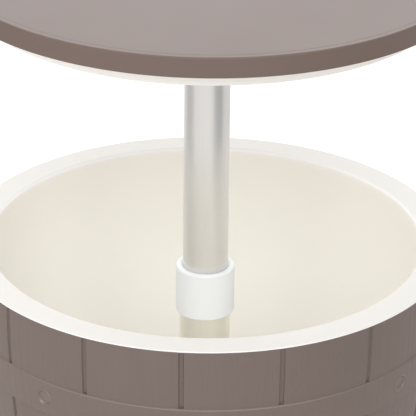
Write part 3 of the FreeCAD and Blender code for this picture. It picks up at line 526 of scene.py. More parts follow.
liner_resin = make_liner_resin()
rivet_resin = make_smooth_moulding("rivet resin", WARM_GREY, 0.4, 0.01 * MM,
                                   Specular_IOR_Level=1.0)
cream_resin = make_smooth_moulding("cream resin", CREAM, 0.42, 0.012 * MM)
white_nylon = make_smooth_moulding("white nylon", WHITE_NYLON, 0.5, 0.02 * MM)
dark_nylon = make_smooth_moulding("dark nylon", DARK_NYLON, 0.45, 0.02 * MM)
soft_rubber = make_smooth_moulding("soft rubber", RUBBER, 0.7, 0.05 * MM)
print("made", [item.name for item in (liner_resin, rivet_resin, cream_resin, white_nylon,
                                      dark_nylon, soft_rubber)])

# %% [markdown]
# The pole is drawn and satin anodised aluminium. Drawing leaves hair lines along the
# tube, so its gloss is spread round the tube and stays sharp up and down, which is what
# turns the white tent into soft upright bands. The fixed tube's colour is lighter and a
# little yellower, a painted reflection of the cream tub it stands in. The screws are plain
# zinc-plated steel.

# %% Metals
ALUMINIUM = (0.80, 0.80, 0.795)
# Painted reflection: the fixed tube's aluminium is tinted by the cream tub round it.
PAINTED_REFLECTION_ALUMINIUM = (0.91, 0.895, 0.84)
ZINC = (0.62, 0.63, 0.64)


def make_satin_aluminium(name, colour):
    material, tree, shader = start_finish(name, colour, roughness=0.32, Metallic=1.0)
    lines = stretched_noise(tree, scale=900.0, detail=3.0, stretch=(1.0, 1.0, 0.01),
                            roughness=0.6)
    tint(tree, shader, lines, shade(colour, 0.95), shade(colour, 1.03))
    vary_roughness(tree, shader, lines, low=0.28, high=0.4)
    emboss(tree, shader, lines, depth=0.006 * MM)
    return material


def make_zinc_steel():
    material, tree, shader = start_finish("zinc steel", ZINC, roughness=0.35, Metallic=1.0)
    cloud = stretched_noise(tree, scale=300.0, detail=3.0)
    tint(tree, shader, cloud, shade(ZINC, 0.85), shade(ZINC, 1.05))
    vary_roughness(tree, shader, cloud, low=0.28, high=0.45)
    return material


satin_aluminium = make_satin_aluminium("satin aluminium", ALUMINIUM)
painted_reflection_aluminium = make_satin_aluminium("fixed aluminium", PAINTED_REFLECTION_ALUMINIUM)
zinc_steel = make_zinc_steel()
print("made", [item.name for item in (satin_aluminium, painted_reflection_aluminium, zinc_steel)])

# %% [markdown]
# Most pieces are round about the pole, as a turner would make them: an outline of radius
# and height, carried once round. An outline is written as corners, each with its own
# rounding, and a rounded corner gets an arc. Two extra points beside each arc keep the
# shading of the flat faces flat.

# %% Outlines
SIDE_CURVE = 1.0
ARC_STEPS = 4
LONGEST_REACH = 0.45
BESIDE_SHARE = 0.35
BESIDE_LIMIT = 0.4 * MM


def round_corner(before, corner, after, radius):
    """The arc that rounds one corner, within its shorter side, and a point beside each end."""
    shorter = min((before - corner).length, (after - corner).length)
    back = (before - corner).normalized()
    ahead = (after - corner).normalized()
    half = back.angle(ahead) / 2
    reach = min(radius / math.tan(half), shorter * LONGEST_REACH)
    radius = reach * math.tan(half)
    centre = corner + (back + ahead).normalized() * radius / math.sin(half)
    start = corner + back * reach
    end = corner + ahead * reach
    turn = math.pi - 2 * half
    arc = []
    for step in range(ARC_STEPS + 1):
        share = step / ARC_STEPS
        arc.append(centre + (start - centre) * (math.sin((1 - share) * turn) / math.sin(turn))
                   + (end - centre) * (math.sin(share * turn) / math.sin(turn)))
    beside = min(reach * BESIDE_SHARE, BESIDE_LIMIT)
    return [start + back * beside] + arc + [end + ahead * beside]


def outline(corners):
    """A closed outline from corners of (radius, height) or (radius, height, rounding)."""
    spots = [Vector(corner[:2]) for corner in corners]
    points = []
    for index, corner in enumerate(corners):
        if len(corner) == 2:
            points.append(spots[index])
            continue
        following = spots[(index + 1) % len(spots)]
        points += round_corner(spots[index - 1], spots[index], following, corner[2])
    return points


def quarter_bend(radius, level, across, up, steps):
    """Corners of a quarter circle, from an upright wall at a radius to a flat at a level.

    It starts up from the flat and ends across from the wall; both may be negative.
    """
    angles = [math.pi / 2 * step / steps for step in range(1, steps + 1)]
    return [(radius + across * (1 - math.cos(angle)), level + up * (1 - math.sin(angle)))
            for angle in angles]


def curved_side(top_radius, top_level, start, end, steps, offset=0.0):
    """Corners down or up a side that is upright at its top and curves in below it."""
    corners = []
    for step in range(steps + 1):
        level = start + (end - start) * step / steps
        reach = math.sqrt((SIDE_CURVE + offset) ** 2 - (top_level - level) ** 2)
        corners.append((top_radius - SIDE_CURVE + reach, level))
    return corners


side_foot = curved_side(RIM_RADIUS, RIM_TOP, RIM_TOP, 0.0, steps=1)[1][0]
print("from the rim to the floor, a side comes in by", round(RIM_RADIUS - side_foot, 4), "m")

# %% [markdown]
# Turning an outline is a rule, so Geometry Nodes do it: a grid has a column for each step
# round the pole and a row for each outline point, and every grid point looks up its
# radius and height in the outline by its row. The last row and column fall on the first
# ones and are merged, which closes the piece.

# %% The turning tree
MERGE_DISTANCE = 0.002 * MM


def start_tree(name, sockets):
    """A Geometry Nodes tree with named inputs; returns it with those inputs."""
    tree = bpy.data.node_groups.new(name, "GeometryNodeTree")
    for label, kind in {"Geometry": "Geometry", **sockets, "Material": "Material"}.items():
        tree.interface.new_socket(label, in_out="INPUT", socket_type=f"NodeSocket{kind}")
    tree.interface.new_socket("Geometry", in_out="OUTPUT", socket_type="NodeSocketGeometry")
    return tree, tree.nodes.new("NodeGroupInput").outputs


def finish_tree(tree, given, geometry):
    """Realize Instances and Set Material, the end of every tree here."""
    whole = add_node(tree, "GeometryNodeRealizeInstances", i0=geometry)
    clad = add_node(tree, "GeometryNodeSetMaterial", Geometry=whole.outputs[0],
                    Material=given["Material"])
    add_node(tree, "NodeGroupOutput", i0=clad.outputs[0])
    return tree


def in_use(sockets, name):
    """A node has one socket of a name for each kind of data, and only one is in use."""
    return next(socket for socket in sockets if socket.enabled and socket.name == name)


def count_points(tree, geometry):
    return add_node(tree, "GeometryNodeAttributeDomainSize", i0=geometry).outputs["Point Count"]


def sample_point(tree, geometry, index):
    """Position of one numbered point of a geometry, as three separate numbers."""
    position = tree.nodes.new("GeometryNodeInputPosition")
    sample = add_node(tree, "GeometryNodeSampleIndex", {"data_type": "FLOAT_VECTOR"},
                      Geometry=geometry, Index=index)
    tree.links.new(position.outputs[0], in_use(sample.inputs, "Value"))
    return add_node(tree, "ShaderNodeSeparateXYZ", i0=in_use(sample.outputs, "Value")).outputs


def start_grid(tree, columns, profile):
    """A grid with a column for each step and a row for each outline point.

    Returns the grid, each point's column number, and the outline's number for its row.
    """
    add, _, multiply, _ = sums(tree)
    rows = count_points(tree, profile)
    grid = add_node(tree, "GeometryNodeMeshGrid", Size_X=1.0, Size_Y=1.0,
                    Vertices_X=add(columns, 1.0), Vertices_Y=add(rows, 1.0))
    position = tree.nodes.new("GeometryNodeInputPosition")
    place = add_node(tree, "ShaderNodeSeparateXYZ", i0=position.outputs[0])
    column = calculate(tree, "ROUND", multiply(add(place.outputs[0], 0.5), columns))
    row = calculate(tree, "ROUND", multiply(add(place.outputs[1], 0.5), rows))
    return grid.outputs["Mesh"], column, calculate(tree, "MODULO", row, rows)


def spot_round(tree, radius, angle, level):
    """A place from its distance to the pole, its angle round the pole and its height."""
    across, back = (calculate(tree, "MULTIPLY", radius, calculate(tree, kind, angle))
                    for kind in ("COSINE", "SINE"))
    return add_node(tree, "ShaderNodeCombineXYZ", i0=across, i1=back, i2=level).outputs[0]


def place_round(tree, grid, radius, angle, level):
    """Moves grid points to a radius, angle and height, and closes the seams."""
    placed = add_node(tree, "GeometryNodeSetPosition", Geometry=grid,
                      Position=spot_round(tree, radius, angle, level))
    return add_node(tree, "GeometryNodeMergeByDistance", Geometry=placed.outputs[0],
                    Distance=MERGE_DISTANCE).outputs[0]


def make_turning_tree():
    tree, given = start_tree("turned piece", {"Segments": "Int"})
    profile = given["Geometry"]
    grid, column, row = start_grid(tree, given["Segments"], profile)
    radius, _, level = sample_point(tree, profile, row)
    _, _, multiply, divide = sums(tree)
    angle = multiply(divide(column, given["Segments"]), 2 * math.pi)
    return finish_tree(tree, given, place_round(tree, grid, radius, angle, level))


turning_tree = make_turning_tree()
print("turning tree has", len(turning_tree.nodes), "nodes")

# %% [markdown]
# A tree works on an object only while its modifier is live, and the export wants plain
# meshes. So each piece is evaluated once and kept as a plain mesh: its normals are made to
# point outwards, edges sharper than an angle are marked, and the source is thrown away. A
# Boolean that cuts a piece is used up in the same way.

# %% Baking a tree into a plain mesh
SHARP_EDGE = math.radians(38.0)


def point_mesh(name, points):
    """Loose points joined in a row: the outline as an object that a tree can read."""
    return add_mesh(name, points, [(index, index + 1) for index in range(len(points) - 1)], [])


def face_outwards(mesh):
    """Cleans a mesh and turns its faces outwards; returns how many edges are open."""
    work = bmesh.new()
    work.from_mesh(mesh)
    bmesh.ops.dissolve_degenerate(work, dist=MERGE_DISTANCE, edges=work.edges)
    bmesh.ops.recalc_face_normals(work, faces=work.faces)
    loose = [edge for edge in work.edges if not edge.link_faces]
    bmesh.ops.delete(work, geom=loose, context="EDGES")
    open_edges = sum(1 for edge in work.edges if len(edge.link_faces) != 2)
    work.to_mesh(mesh)
    work.free()
    return open_edges


def take_mesh(name, item):
    """The mesh that an object's modifiers make of it, cleaned and shaded."""
    bpy.context.view_layer.update()
    live = item.evaluated_get(bpy.context.evaluated_depsgraph_get())
    mesh = bpy.data.meshes.new_from_object(live)
    mesh.name = name
    open_edges = face_outwards(mesh)
    mesh.shade_smooth()
    mesh.set_sharp_from_angle(angle=SHARP_EDGE)
    print(f"{name}: {len(mesh.polygons)} faces, {open_edges} open edges")
    return mesh


def bake(name, source, tree, **values):
    """Runs a tree on a source object and returns the result as a plain object."""
    modifier = source.modifiers.new("shape", "NODES")
    modifier.node_group = tree
    for item in tree.interface.items_tree:
        label = item.name.replace(" ", "_").lower()
        if item.in_out == "INPUT" and label in values:
            modifier[item.identifier] = values[label]
    mesh = take_mesh(name, source)
    bpy.data.objects.remove(source)
    return add_object(name, mesh)


def cut_away(piece, cutter):
    """Takes the cutter's shape out of the piece, and throws the cutter away."""
    modifier = piece.modifiers.new("cut", "BOOLEAN")
    modifier.operation = "DIFFERENCE"
    modifier.object = cutter
    mesh = take_mesh(piece.name, piece)
    piece.modifiers.remove(modifier)
    piece.data = mesh
    bpy.data.objects.remove(cutter)


def settle(piece, body, slot, *nodes):
    """Puts a finished piece on its body, in place of CAD nodes; its slot is not used."""
    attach(piece, body)
    if nodes:
        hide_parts(*nodes)
    return piece


def turned(name, corners, material, segments):
    """A piece turned round the pole's axis from the corners of its outline."""
    points = [(point[0], 0.0, point[1]) for point in outline(corners)]
    return bake(name, point_mesh(name, points), turning_tree, segments=segments,
                material=material)


# %% [markdown]
# The tub's outer wall is moulded as sixteen staves with narrow slots between them. The
# same kind of grid makes it, but its columns crowd together at each slot. A slot keeps
# its width in millimetres while the tub narrows, so the columns beside it are placed by
# distance, and the rest share what is left of the stave. The section of a slot is a
# second short outline: distance from its middle, in halves of its width, and how deep it
# is there, as a share of its full depth.

# %% The staved tree
def make_staved_tree():
    tree, given = start_tree("staved wall", {
        "Slot Section": "Object", "Stave Count": "Int", "Columns": "Int",
        "First Slot": "Float", "Slot Depth": "Float"})
    add, subtract, multiply, divide = sums(tree)
    profile = given["Geometry"]
    columns = given["Columns"]
    grid, column, row = start_grid(tree, multiply(given["Stave Count"], columns), profile)
    radius, slot_share, level = sample_point(tree, profile, row)
    stave = calculate(tree, "FLOOR", divide(column, columns))
    own = calculate(tree, "MODULO", column, columns)
    nearest = calculate(tree, "MINIMUM", own, subtract(columns, own))
    info = add_node(tree, "GeometryNodeObjectInfo", Object=given["Slot Section"])
    section = info.outputs["Geometry"]
    zone = subtract(count_points(tree, section), 1.0)
    beside = calculate(tree, "MINIMUM", nearest, zone)
    distance, depth, _ = sample_point(tree, section, beside)
    step = divide(2 * math.pi, given["Stave Count"])
    slot_angle = divide(distance, radius)
    spread = subtract(step, multiply(slot_angle, 2.0))
    spare = subtract(columns, multiply(zone, 2.0))
    even = add(slot_angle, multiply(divide(subtract(own, zone), spare), spread))
    near_start = calculate(tree, "LESS_THAN", own, multiply(columns, 0.5))
    in_zone = calculate(tree, "LESS_THAN", nearest, add(zone, 0.5))

    def choose(flag, if_true, if_false):
        return add_node(tree, "ShaderNodeMix", i0=flag, i2=if_false, i3=if_true).outputs[0]

    beside_slot = choose(near_start, slot_angle, subtract(step, slot_angle))
    local = choose(in_zone, beside_slot, even)
    angle = add(given["First Slot"], add(local, multiply(stave, step)))
    cut = multiply(multiply(depth, slot_share), given["Slot Depth"])
    reach = subtract(radius, cut)
    return finish_tree(tree, given, place_round(tree, grid, reach, angle, level))


staved_tree = make_staved_tree()
print("staved tree has", len(staved_tree.nodes), "nodes")

# %% Outer shell
STAVE_COUNT = 16
STAVE_COLUMNS = 32
SHELL_TURN = math.radians(6.25)
SLOT_DEPTH = 2.0 * MM
SLOT_HALF = 2.5 * MM
SHELL_TOP_RADIUS = 237.0 * MM
SHELL_WALL = 4.5 * MM
SHELL_TOP = RIM_TOP - 1.5 * MM
SHELL_BASE = RIM_TOP - 370.0 * MM
SHELL_FLOOR = SHELL_BASE + SHELL_WALL
CUP_RADIUS = 28.55 * MM
CUP_FLOOR = RIM_TOP - 383.5 * MM
CUP_BASE = CUP_FLOOR - SHELL_WALL
CUP_FLARE = 2.0 * MM
BOLT_HOLE = 4.3 * MM
SHELL_BEND = 9.0 * MM
SHELL_ROWS = 56
BEND_ROWS = 5

SLOT_SECTION = [(0.0, 1.0), (0.35, 1.0), (0.60, 0.96), (0.76, 0.80), (0.88, 0.42),
                (0.97, 0.1), (1.05, 0.02), (1.2, 0.0), (1.6, 0.0)]


def shell_points():
    """The shell's closed outline; the middle number is 1 where a slot may cut."""
    bend_top = SHELL_BASE + SHELL_BEND
    side = curved_side(SHELL_TOP_RADIUS, SHELL_TOP, SHELL_TOP, bend_top, steps=SHELL_ROWS)
    inside = curved_side(SHELL_TOP_RADIUS, SHELL_TOP, bend_top, SHELL_TOP, steps=12,
                         offset=-SHELL_WALL)
    foot = side[-1][0]
    bend = quarter_bend(foot, SHELL_BASE, -SHELL_BEND, SHELL_BEND, steps=BEND_ROWS)
    floor_corners = [
        (CUP_RADIUS + SHELL_WALL + CUP_FLARE, SHELL_BASE, 1.0 * MM),
        (CUP_RADIUS + SHELL_WALL, CUP_BASE, 1.5 * MM),
        (BOLT_HOLE, CUP_BASE),
        (BOLT_HOLE, CUP_FLOOR),
        (CUP_RADIUS, CUP_FLOOR),
        (CUP_RADIUS + CUP_FLARE, SHELL_FLOOR),
        (foot - SHELL_BEND, SHELL_FLOOR),
    ]
    points = [(radius, 1.0, level) for radius, level in side]
    points += [(radius, 1.0 - (index + 1) / BEND_ROWS, level)
               for index, (radius, level) in enumerate(bend)]
    points += [(point[0], 0.0, point[1]) for point in outline(floor_corners)]
    points += [(radius, 0.0, level) for radius, level in inside]
    return points


section = point_mesh("slot section", [(share * SLOT_HALF, depth, 0.0)
                                      for share, depth in SLOT_SECTION])
shell = bake("outer_shell_staves", point_mesh("shell outline", shell_points()), staved_tree,
             slot_section=section, stave_count=STAVE_COUNT, columns=STAVE_COLUMNS,
             first_slot=SHELL_TURN + math.pi / STAVE_COUNT, slot_depth=SLOT_DEPTH,
             material=stave_resin)
bpy.data.objects.remove(section)
settle(shell, "tub", "stave_resin", "outer_shell")

# %% [markdown]
# Two flat hoops run round the staves, as on a barrel. They are part of the same moulding
# and stand 1.4 mm proud of the staves, with sloped edges that catch the front light. Each
# is turned from its own outline, which follows the bulge of the wall and reaches in below
# the slots, so that no slot shows through.

# %% Hoops
HOOP_WIDTH = 36.5 * MM
HOOP_RISE = 1.4 * MM
HOOP_BEVEL = 1.3 * MM
HOOP_SHELF = 0.05 * MM
HOOP_ROOT = SLOT_DEPTH + 0.5 * MM
HOOP_EDGE = 0.3 * MM
HOOP_SEGMENTS = 288


def hoop_corners(top):
    low = top - HOOP_WIDTH
    face = curved_side(SHELL_TOP_RADIUS, SHELL_TOP, top - HOOP_BEVEL, low + HOOP_BEVEL,
                       steps=10, offset=HOOP_RISE)
    shelf = curved_side(SHELL_TOP_RADIUS, SHELL_TOP, top, low, steps=1, offset=HOOP_SHELF)
    root = curved_side(SHELL_TOP_RADIUS, SHELL_TOP, low, top, steps=4, offset=-HOOP_ROOT)
    upper_edge, lower_edge = (*face[0], HOOP_EDGE), (*face[-1], HOOP_EDGE)
    return [shelf[0], upper_edge] + face[1:-1] + [lower_edge, shelf[1]] + root


hoops = {name: turned(f"hoop_{name}", hoop_corners(top), hoop_resin, HOOP_SEGMENTS)
         for name, top in HOOP_TOPS.items()}

# %% [markdown]
# Cupped rivet heads sit in pockets along each hoop. One head is turned about its own axis,
# and a tree sets copies of it round the pole, leaning back with the slope of the wall. The
# same tree sets plugs where the heads go, and a Boolean takes them out of the hoop first.

# %% The ring tree
def make_ring_tree():
    """Copies of a piece round the pole; the piece points along +X from its own origin."""
    tree, given = start_tree("ring of pieces", {
        "Count": "Int", "Radius": "Float", "Level": "Float", "Lean": "Float",
        "First Angle": "Float"})
    count = given["Count"]
    line = add_node(tree, "GeometryNodeMeshLine", Count=count)
    index = tree.nodes.new("GeometryNodeInputIndex")
    add, _, multiply, divide = sums(tree)
    step = divide(2 * math.pi, count)
    angle = add(given["First Angle"], multiply(index.outputs[0], step))
    spot = spot_round(tree, given["Radius"], angle, given["Level"])
    placed = add_node(tree, "GeometryNodeSetPosition", Geometry=line.outputs[0], Position=spot)
    turn = add_node(tree, "ShaderNodeCombineXYZ", i1=given["Lean"], i2=angle)
    copies = add_node(tree, "GeometryNodeInstanceOnPoints", Points=placed.outputs[0],
                      Instance=given["Geometry"], Rotation=turn.outputs[0])
    return finish_tree(tree, given, copies.outputs[0])


ring_tree = make_ring_tree()
print("ring tree has", len(ring_tree.nodes), "nodes")

# %% Rivets
RIVET_COUNT = 8
RIVET_SEGMENTS = 48
RIVET_RADIUS = 9.0 * MM
RIVET_CREST = (7.8 * MM, 0.65 * MM)
RIVET_FLOOR = (6.0 * MM, -1.4 * MM)
RIVET_EDGE = -0.12 * MM
RIVET_UNDER = -0.5 * MM
RIVET_FOOT = -1.6 * MM
POCKET_RADIUS = 8.5 * MM
POCKET_MOUTH = 2.0 * MM
POCKET_FLOOR = -1.8 * MM
RIVET_STEM = POCKET_RADIUS - 0.2 * MM


def pointed_out(name, corners):
    """A turned head laid on its side, so that it points along +X from its own origin."""
    head = turned(name, corners, rivet_resin, RIVET_SEGMENTS)
    for vertex in head.data.vertices:
        across, side, out = vertex.co
        vertex.co = (out, side, -across)
    return head


head_corners = [
    (0.0, RIVET_FLOOR[1]), (*RIVET_FLOOR, 0.9 * MM), (*RIVET_CREST, 0.4 * MM),
    (RIVET_RADIUS, RIVET_EDGE, 0.3 * MM), (RIVET_RADIUS, RIVET_UNDER),
    (RIVET_STEM, RIVET_UNDER), (RIVET_STEM, RIVET_FOOT), (0.0, RIVET_FOOT)]
pocket_corners = [(0.0, POCKET_MOUTH), (POCKET_RADIUS, POCKET_MOUTH),
                  (POCKET_RADIUS, POCKET_FLOOR), (0.0, POCKET_FLOOR)]
for name, top in HOOP_TOPS.items():
    level = top - HOOP_WIDTH / 2
    lean = math.asin((SHELL_TOP - level) / (SIDE_CURVE + HOOP_RISE))
    seat = curved_side(SHELL_TOP_RADIUS, SHELL_TOP, level, level, steps=1,
                       offset=HOOP_RISE)[0][0]
    ring = {"count": RIVET_COUNT, "radius": seat, "level": level, "lean": lean,
            "first_angle": SHELL_TURN, "material": rivet_resin}
    pockets = bake(f"pockets {name}", pointed_out("pocket", pocket_corners), ring_tree, **ring)
    cut_away(hoops[name], pockets)
    rivets = bake(f"rivets_{name}", pointed_out("rivet head", head_corners), ring_tree, **ring)
    settle(hoops[name], "tub", "stave_resin")
    settle(rivets, "tub", "stave_resin")

# %% [markdown]
# The liner is one cream moulding: the tub that holds the ice, the broad flat rim, and the
# socket for the pole in its floor. The rim covers the tops of the staves but for a hair. Its
# outer edge is crisp, and the mouth is rounded more softly. A rib below the rim keeps the
# liner in the middle of the shell.

# %% Liner
MOUTH_RADIUS = RIM_RADIUS - 29.5 * MM
LINER_WALL = 3.5 * MM
LINER_FLOOR = SHELL_FLOOR + 12.5 * MM
LINER_CORNER = 10.0 * MM
SOCKET_TOP = LINER_FLOOR + 10.0 * MM
RIM_UNDER = RIM_TOP - 4.0 * MM
RIM_EDGE = RIM_RADIUS - 1.2 * MM
MOUTH_ROUND = 3.0 * MM
RIM_FLAT_START = MOUTH_RADIUS + 6.0 * MM
RIB_RADIUS = SHELL_TOP_RADIUS - SHELL_WALL - 0.3 * MM
RIB_BASE = RIM_UNDER - 12.0 * MM
SOCKET_BORE = 24.75 * MM
SOCKET_FLARE = 5.0 * MM
SOCKET_FLOOR = LINER_FLOOR - 27.0 * MM
ROUND_SEGMENTS = 320


def liner_corners():
    corner_top = LINER_FLOOR + LINER_CORNER
    inside = curved_side(MOUTH_RADIUS, RIM_TOP, RIM_TOP - MOUTH_ROUND, corner_top, steps=26)
    outside = curved_side(MOUTH_RADIUS, RIM_TOP, corner_top, RIM_UNDER, steps=10,
                          offset=LINER_WALL)
    foot = inside[-1][0]
    bend = quarter_bend(foot, LINER_FLOOR, -LINER_CORNER, LINER_CORNER, steps=8)
    mouth = quarter_bend(inside[0][0], RIM_TOP, MOUTH_ROUND, -MOUTH_ROUND, steps=5)
    socket_outside = SOCKET_BORE + LINER_WALL
    return (mouth[::-1] + inside + bend + [
        (socket_outside + SOCKET_FLARE, LINER_FLOOR, 2.0 * MM),
        (socket_outside, SOCKET_TOP, 1.0 * MM),
        (SOCKET_BORE, SOCKET_TOP, 0.5 * MM),
        (SOCKET_BORE, SOCKET_FLOOR),
        (BOLT_HOLE, SOCKET_FLOOR),
        (BOLT_HOLE, CUP_FLOOR),
        (socket_outside, CUP_FLOOR),
        (socket_outside, LINER_FLOOR - LINER_WALL),
        (foot - LINER_CORNER, LINER_FLOOR - LINER_WALL)] + outside + [
        (RIB_RADIUS - LINER_WALL, RIM_UNDER),
        (RIB_RADIUS - LINER_WALL, RIB_BASE),
        (RIB_RADIUS, RIB_BASE),
        (RIB_RADIUS, SHELL_TOP),
        (RIM_EDGE, SHELL_TOP, 0.2 * MM),
        (RIM_EDGE, RIM_TOP, 1.0 * MM),
        (RIM_FLAT_START, RIM_TOP)])


liner = turned("inner_liner_moulding", liner_corners(), liner_resin, ROUND_SEGMENTS)
settle(liner, "tub", "cream_resin", "inner_liner")

# %% [markdown]
# The table top is a shallow grey tray turned upside down: a flat plate with a fine step
# near its edge and a straight band below. The cream pan closes it from beneath. Its lip
# fills the band, its seat lies on the rim when the lid is down, and a low ring enters
# the tub's mouth.

# %% Table top
PLATE_CEILING = LID_TOP - 4.0 * MM
BAND_INSIDE = LID_RADIUS - 3.5 * MM
STEP_RADIUS = LID_RADIUS - 7.0 * MM
STEP_RUN = 1.4 * MM
STEP_LEVEL = LID_TOP - 0.15 * MM
PLATE_FLAT = STEP_RADIUS - 20.0 * MM


def lid_top_corners():
    return [
        (0.0, PLATE_CEILING), (BAND_INSIDE, PLATE_CEILING, 1.0 * MM),
        (BAND_INSIDE, LID_BASE, 0.3 * MM), (LID_RADIUS, LID_BASE, 0.6 * MM),
        (LID_RADIUS, STEP_LEVEL, 1.1 * MM), (STEP_RADIUS + STEP_RUN, STEP_LEVEL, 0.6 * MM),
        (STEP_RADIUS, LID_TOP, 0.6 * MM), (PLATE_FLAT, LID_TOP), (0.0, LID_TOP)]


lid_top = turned("lid_top_plate", lid_top_corners(), top_resin, ROUND_SEGMENTS)
settle(lid_top, "table_top", "top_resin", "lid_top")

# %% Underside of the table top
UNDER_WALL = 3.0 * MM
PLUG_RADIUS = MOUTH_RADIUS - 3.1 * MM
LIP_RADIUS = LID_RADIUS - 3.8 * MM
LEDGE = LIP_RADIUS - PLUG_RADIUS
SEAT_EDGE = PLUG_RADIUS + 0.4753 * LEDGE
SIDE_TOP = PLUG_RADIUS + 0.6416 * LEDGE
SIDE_WALL = 2.4 * MM
SEAT_LEVEL = LID_BASE - 17.1 * MM
PLUG_BASE = SEAT_LEVEL - 7.5 * MM
LIP_BASE = LID_BASE - 4.6 * MM
LIP_EDGE = LID_BASE - 1.6 * MM
PAN_CEILING = SEAT_LEVEL + 4.2 * MM
HUB_CEILING = PAN_CEILING + 5.5 * MM
DISH_RADIUS = 50.0 * MM
DISH_EDGE = DISH_RADIUS + 3.0 * MM


def underside_corners():
    """The pan's closed outline: inwards along its back, and out again along its face."""
    plug_in = PLUG_RADIUS - UNDER_WALL
    back = [
        (LIP_RADIUS, LID_BASE), (LIP_RADIUS - UNDER_WALL, LID_BASE),
        (LIP_RADIUS - UNDER_WALL, LIP_BASE), (SIDE_TOP - SIDE_WALL, LIP_BASE),
        (SEAT_EDGE - SIDE_WALL, SEAT_LEVEL), (PLUG_RADIUS, SEAT_LEVEL), (plug_in, PAN_CEILING),
        (DISH_EDGE, PAN_CEILING), (DISH_RADIUS, HUB_CEILING), (0.0, HUB_CEILING)]
    face = [
        (0.0, HUB_CEILING), (DISH_RADIUS, HUB_CEILING, 1.5 * MM),
        (DISH_EDGE, PAN_CEILING, 1.5 * MM), (plug_in - 1.0 * MM, PAN_CEILING, 1.5 * MM),
        (plug_in, PLUG_BASE, 0.8 * MM), (PLUG_RADIUS, PLUG_BASE, 0.8 * MM),
        (PLUG_RADIUS + 1.0 * MM, SEAT_LEVEL, 1.2 * MM), (SEAT_EDGE, SEAT_LEVEL, 2.4 * MM),
        (SIDE_TOP, LIP_BASE, 2.0 * MM), (LIP_RADIUS - 2.6 * MM, LIP_BASE, 1.6 * MM),
        (LIP_RADIUS, LIP_EDGE, 0.5 * MM)]
    return [(radius, level + UNDER_WALL) for radius, level in back] + face


underside = turned("lid_underside_pan", underside_corners(), cream_resin, ROUND_SEGMENTS)
settle(underside, "table_top", "cream_resin", "lid_underside")

# %% [markdown]
# The pole is two plain tubes, one sliding in the other, and a white nylon collar that
# caps the fixed one. Only the collar has shape: a rounded top, a turned-in throat round
# the sliding tube, and a slightly softened foot.

# %% Pole
TUBE_SEGMENTS = 128
TUBE_EDGE = 0.3 * MM
SLIDING_BORE = 20.5 * MM
FIXED_BORE = 23.2 * MM


def tube_corners(node, bore):
    low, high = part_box(node)
    return [(bore, low.z), (high.x, low.z, TUBE_EDGE), (high.x, high.z, TUBE_EDGE),
            (bore, high.z)]


inner_tube = turned("inner_tube_sliding", tube_corners("inner_tube", SLIDING_BORE),
                    satin_aluminium, TUBE_SEGMENTS)
settle(inner_tube, "table_top", "satin_aluminium", "inner_tube")
outer_tube = turned("outer_tube_fixed", tube_corners("outer_tube", FIXED_BORE),
                    painted_reflection_aluminium, TUBE_SEGMENTS)
settle(outer_tube, "tub", "satin_aluminium", "outer_tube")

# %% Collar
COLLAR_TOP = RIM_TOP - 29.0 * MM
COLLAR_BASE = COLLAR_TOP - 49.0 * MM
THROAT_BORE = 21.95 * MM
THROAT_RUN = 2.2 * MM
THROAT_DROP = 1.2 * MM
BUSH_RADIUS = FIXED_BORE - 0.05 * MM
TUBE_STOP = COLLAR_TOP - 6.0 * MM


def collar_corners():
    """The cap round the fixed tube, the throat, and the bush that reaches into the tube."""
    low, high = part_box("guide_collar")
    return [
        (SOCKET_BORE, COLLAR_BASE, 0.4 * MM), (high.x, COLLAR_BASE, 1.6 * MM),
        (high.x, COLLAR_TOP, 2.4 * MM), (THROAT_BORE + THROAT_RUN, COLLAR_TOP, 1.0 * MM),
        (THROAT_BORE, COLLAR_TOP - THROAT_DROP, 0.4 * MM), (THROAT_BORE, low.z),
        (BUSH_RADIUS, low.z), (BUSH_RADIUS, TUBE_STOP), (SOCKET_BORE, TUBE_STOP)]


collar = turned("guide_collar_sleeve", collar_corners(), white_nylon, TUBE_SEGMENTS)
settle(collar, "tub", "white_nylon", "guide_collar")

# %% [markdown]
# Screws are the small parts that show under the lid and under the tub. One screw is
# turned, with a domed head, a cross cut in it and rings for its thread. A tree then sets a
# copy at each place where the CAD has one, each turned at random, as screws end up.

# %% Places of the CAD's screws
def solids_of(name):
    """Lowest and highest corner of each separate solid in a CAD node."""
    work = bmesh.new()
    work.from_mesh(frame["nodes"][name].data)
    bmesh.ops.remove_doubles(work, verts=work.verts, dist=MERGE_DISTANCE)
    left = set(work.verts)
    boxes = []
    while left:
        found = [left.pop()]
        for vertex in found:
            for edge in vertex.link_edges:
                other = edge.other_vert(vertex)
                if other in left:
                    left.discard(other)
                    found.append(other)
        spots = [vertex.co.copy() for vertex in found]
        boxes.append((Vector([min(spot[axis] for spot in spots) for axis in range(3)]),
                      Vector([max(spot[axis] for spot in spots) for axis in range(3)])))
    work.free()
    return boxes


SCREW_BODIES = {"lid_screws": "table_top", "hub_screws": "table_top", "leg_screws": "tub"}
screw_boxes = {name: solids_of(name) for name in SCREW_BODIES}
print("screws:", {name: len(boxes) for name, boxes in screw_boxes.items()})

# %% The scattering tree
def make_scatter_tree():
    """Copies of an object on points, each with its own turn about its upright axis."""
    tree, given = start_tree("set on points", {"Piece": "Object", "Seed": "Int"})
    info = add_node(tree, "GeometryNodeObjectInfo", Object=given["Piece"])
    chance = add_node(tree, "FunctionNodeRandomValue", {"data_type": "FLOAT"},
                      Seed=given["Seed"])
    in_use(chance.inputs, "Min").default_value = 0.0
    in_use(chance.inputs, "Max").default_value = 2 * math.pi
    turn = add_node(tree, "ShaderNodeCombineXYZ", i2=in_use(chance.outputs, "Value"))
    copies = add_node(tree, "GeometryNodeInstanceOnPoints", Points=given["Geometry"],
                      Instance=info.outputs["Geometry"], Rotation=turn.outputs[0])
    return finish_tree(tree, given, copies.outputs[0])


scatter_tree = make_scatter_tree()
print("scatter tree has", len(scatter_tree.nodes), "nodes")

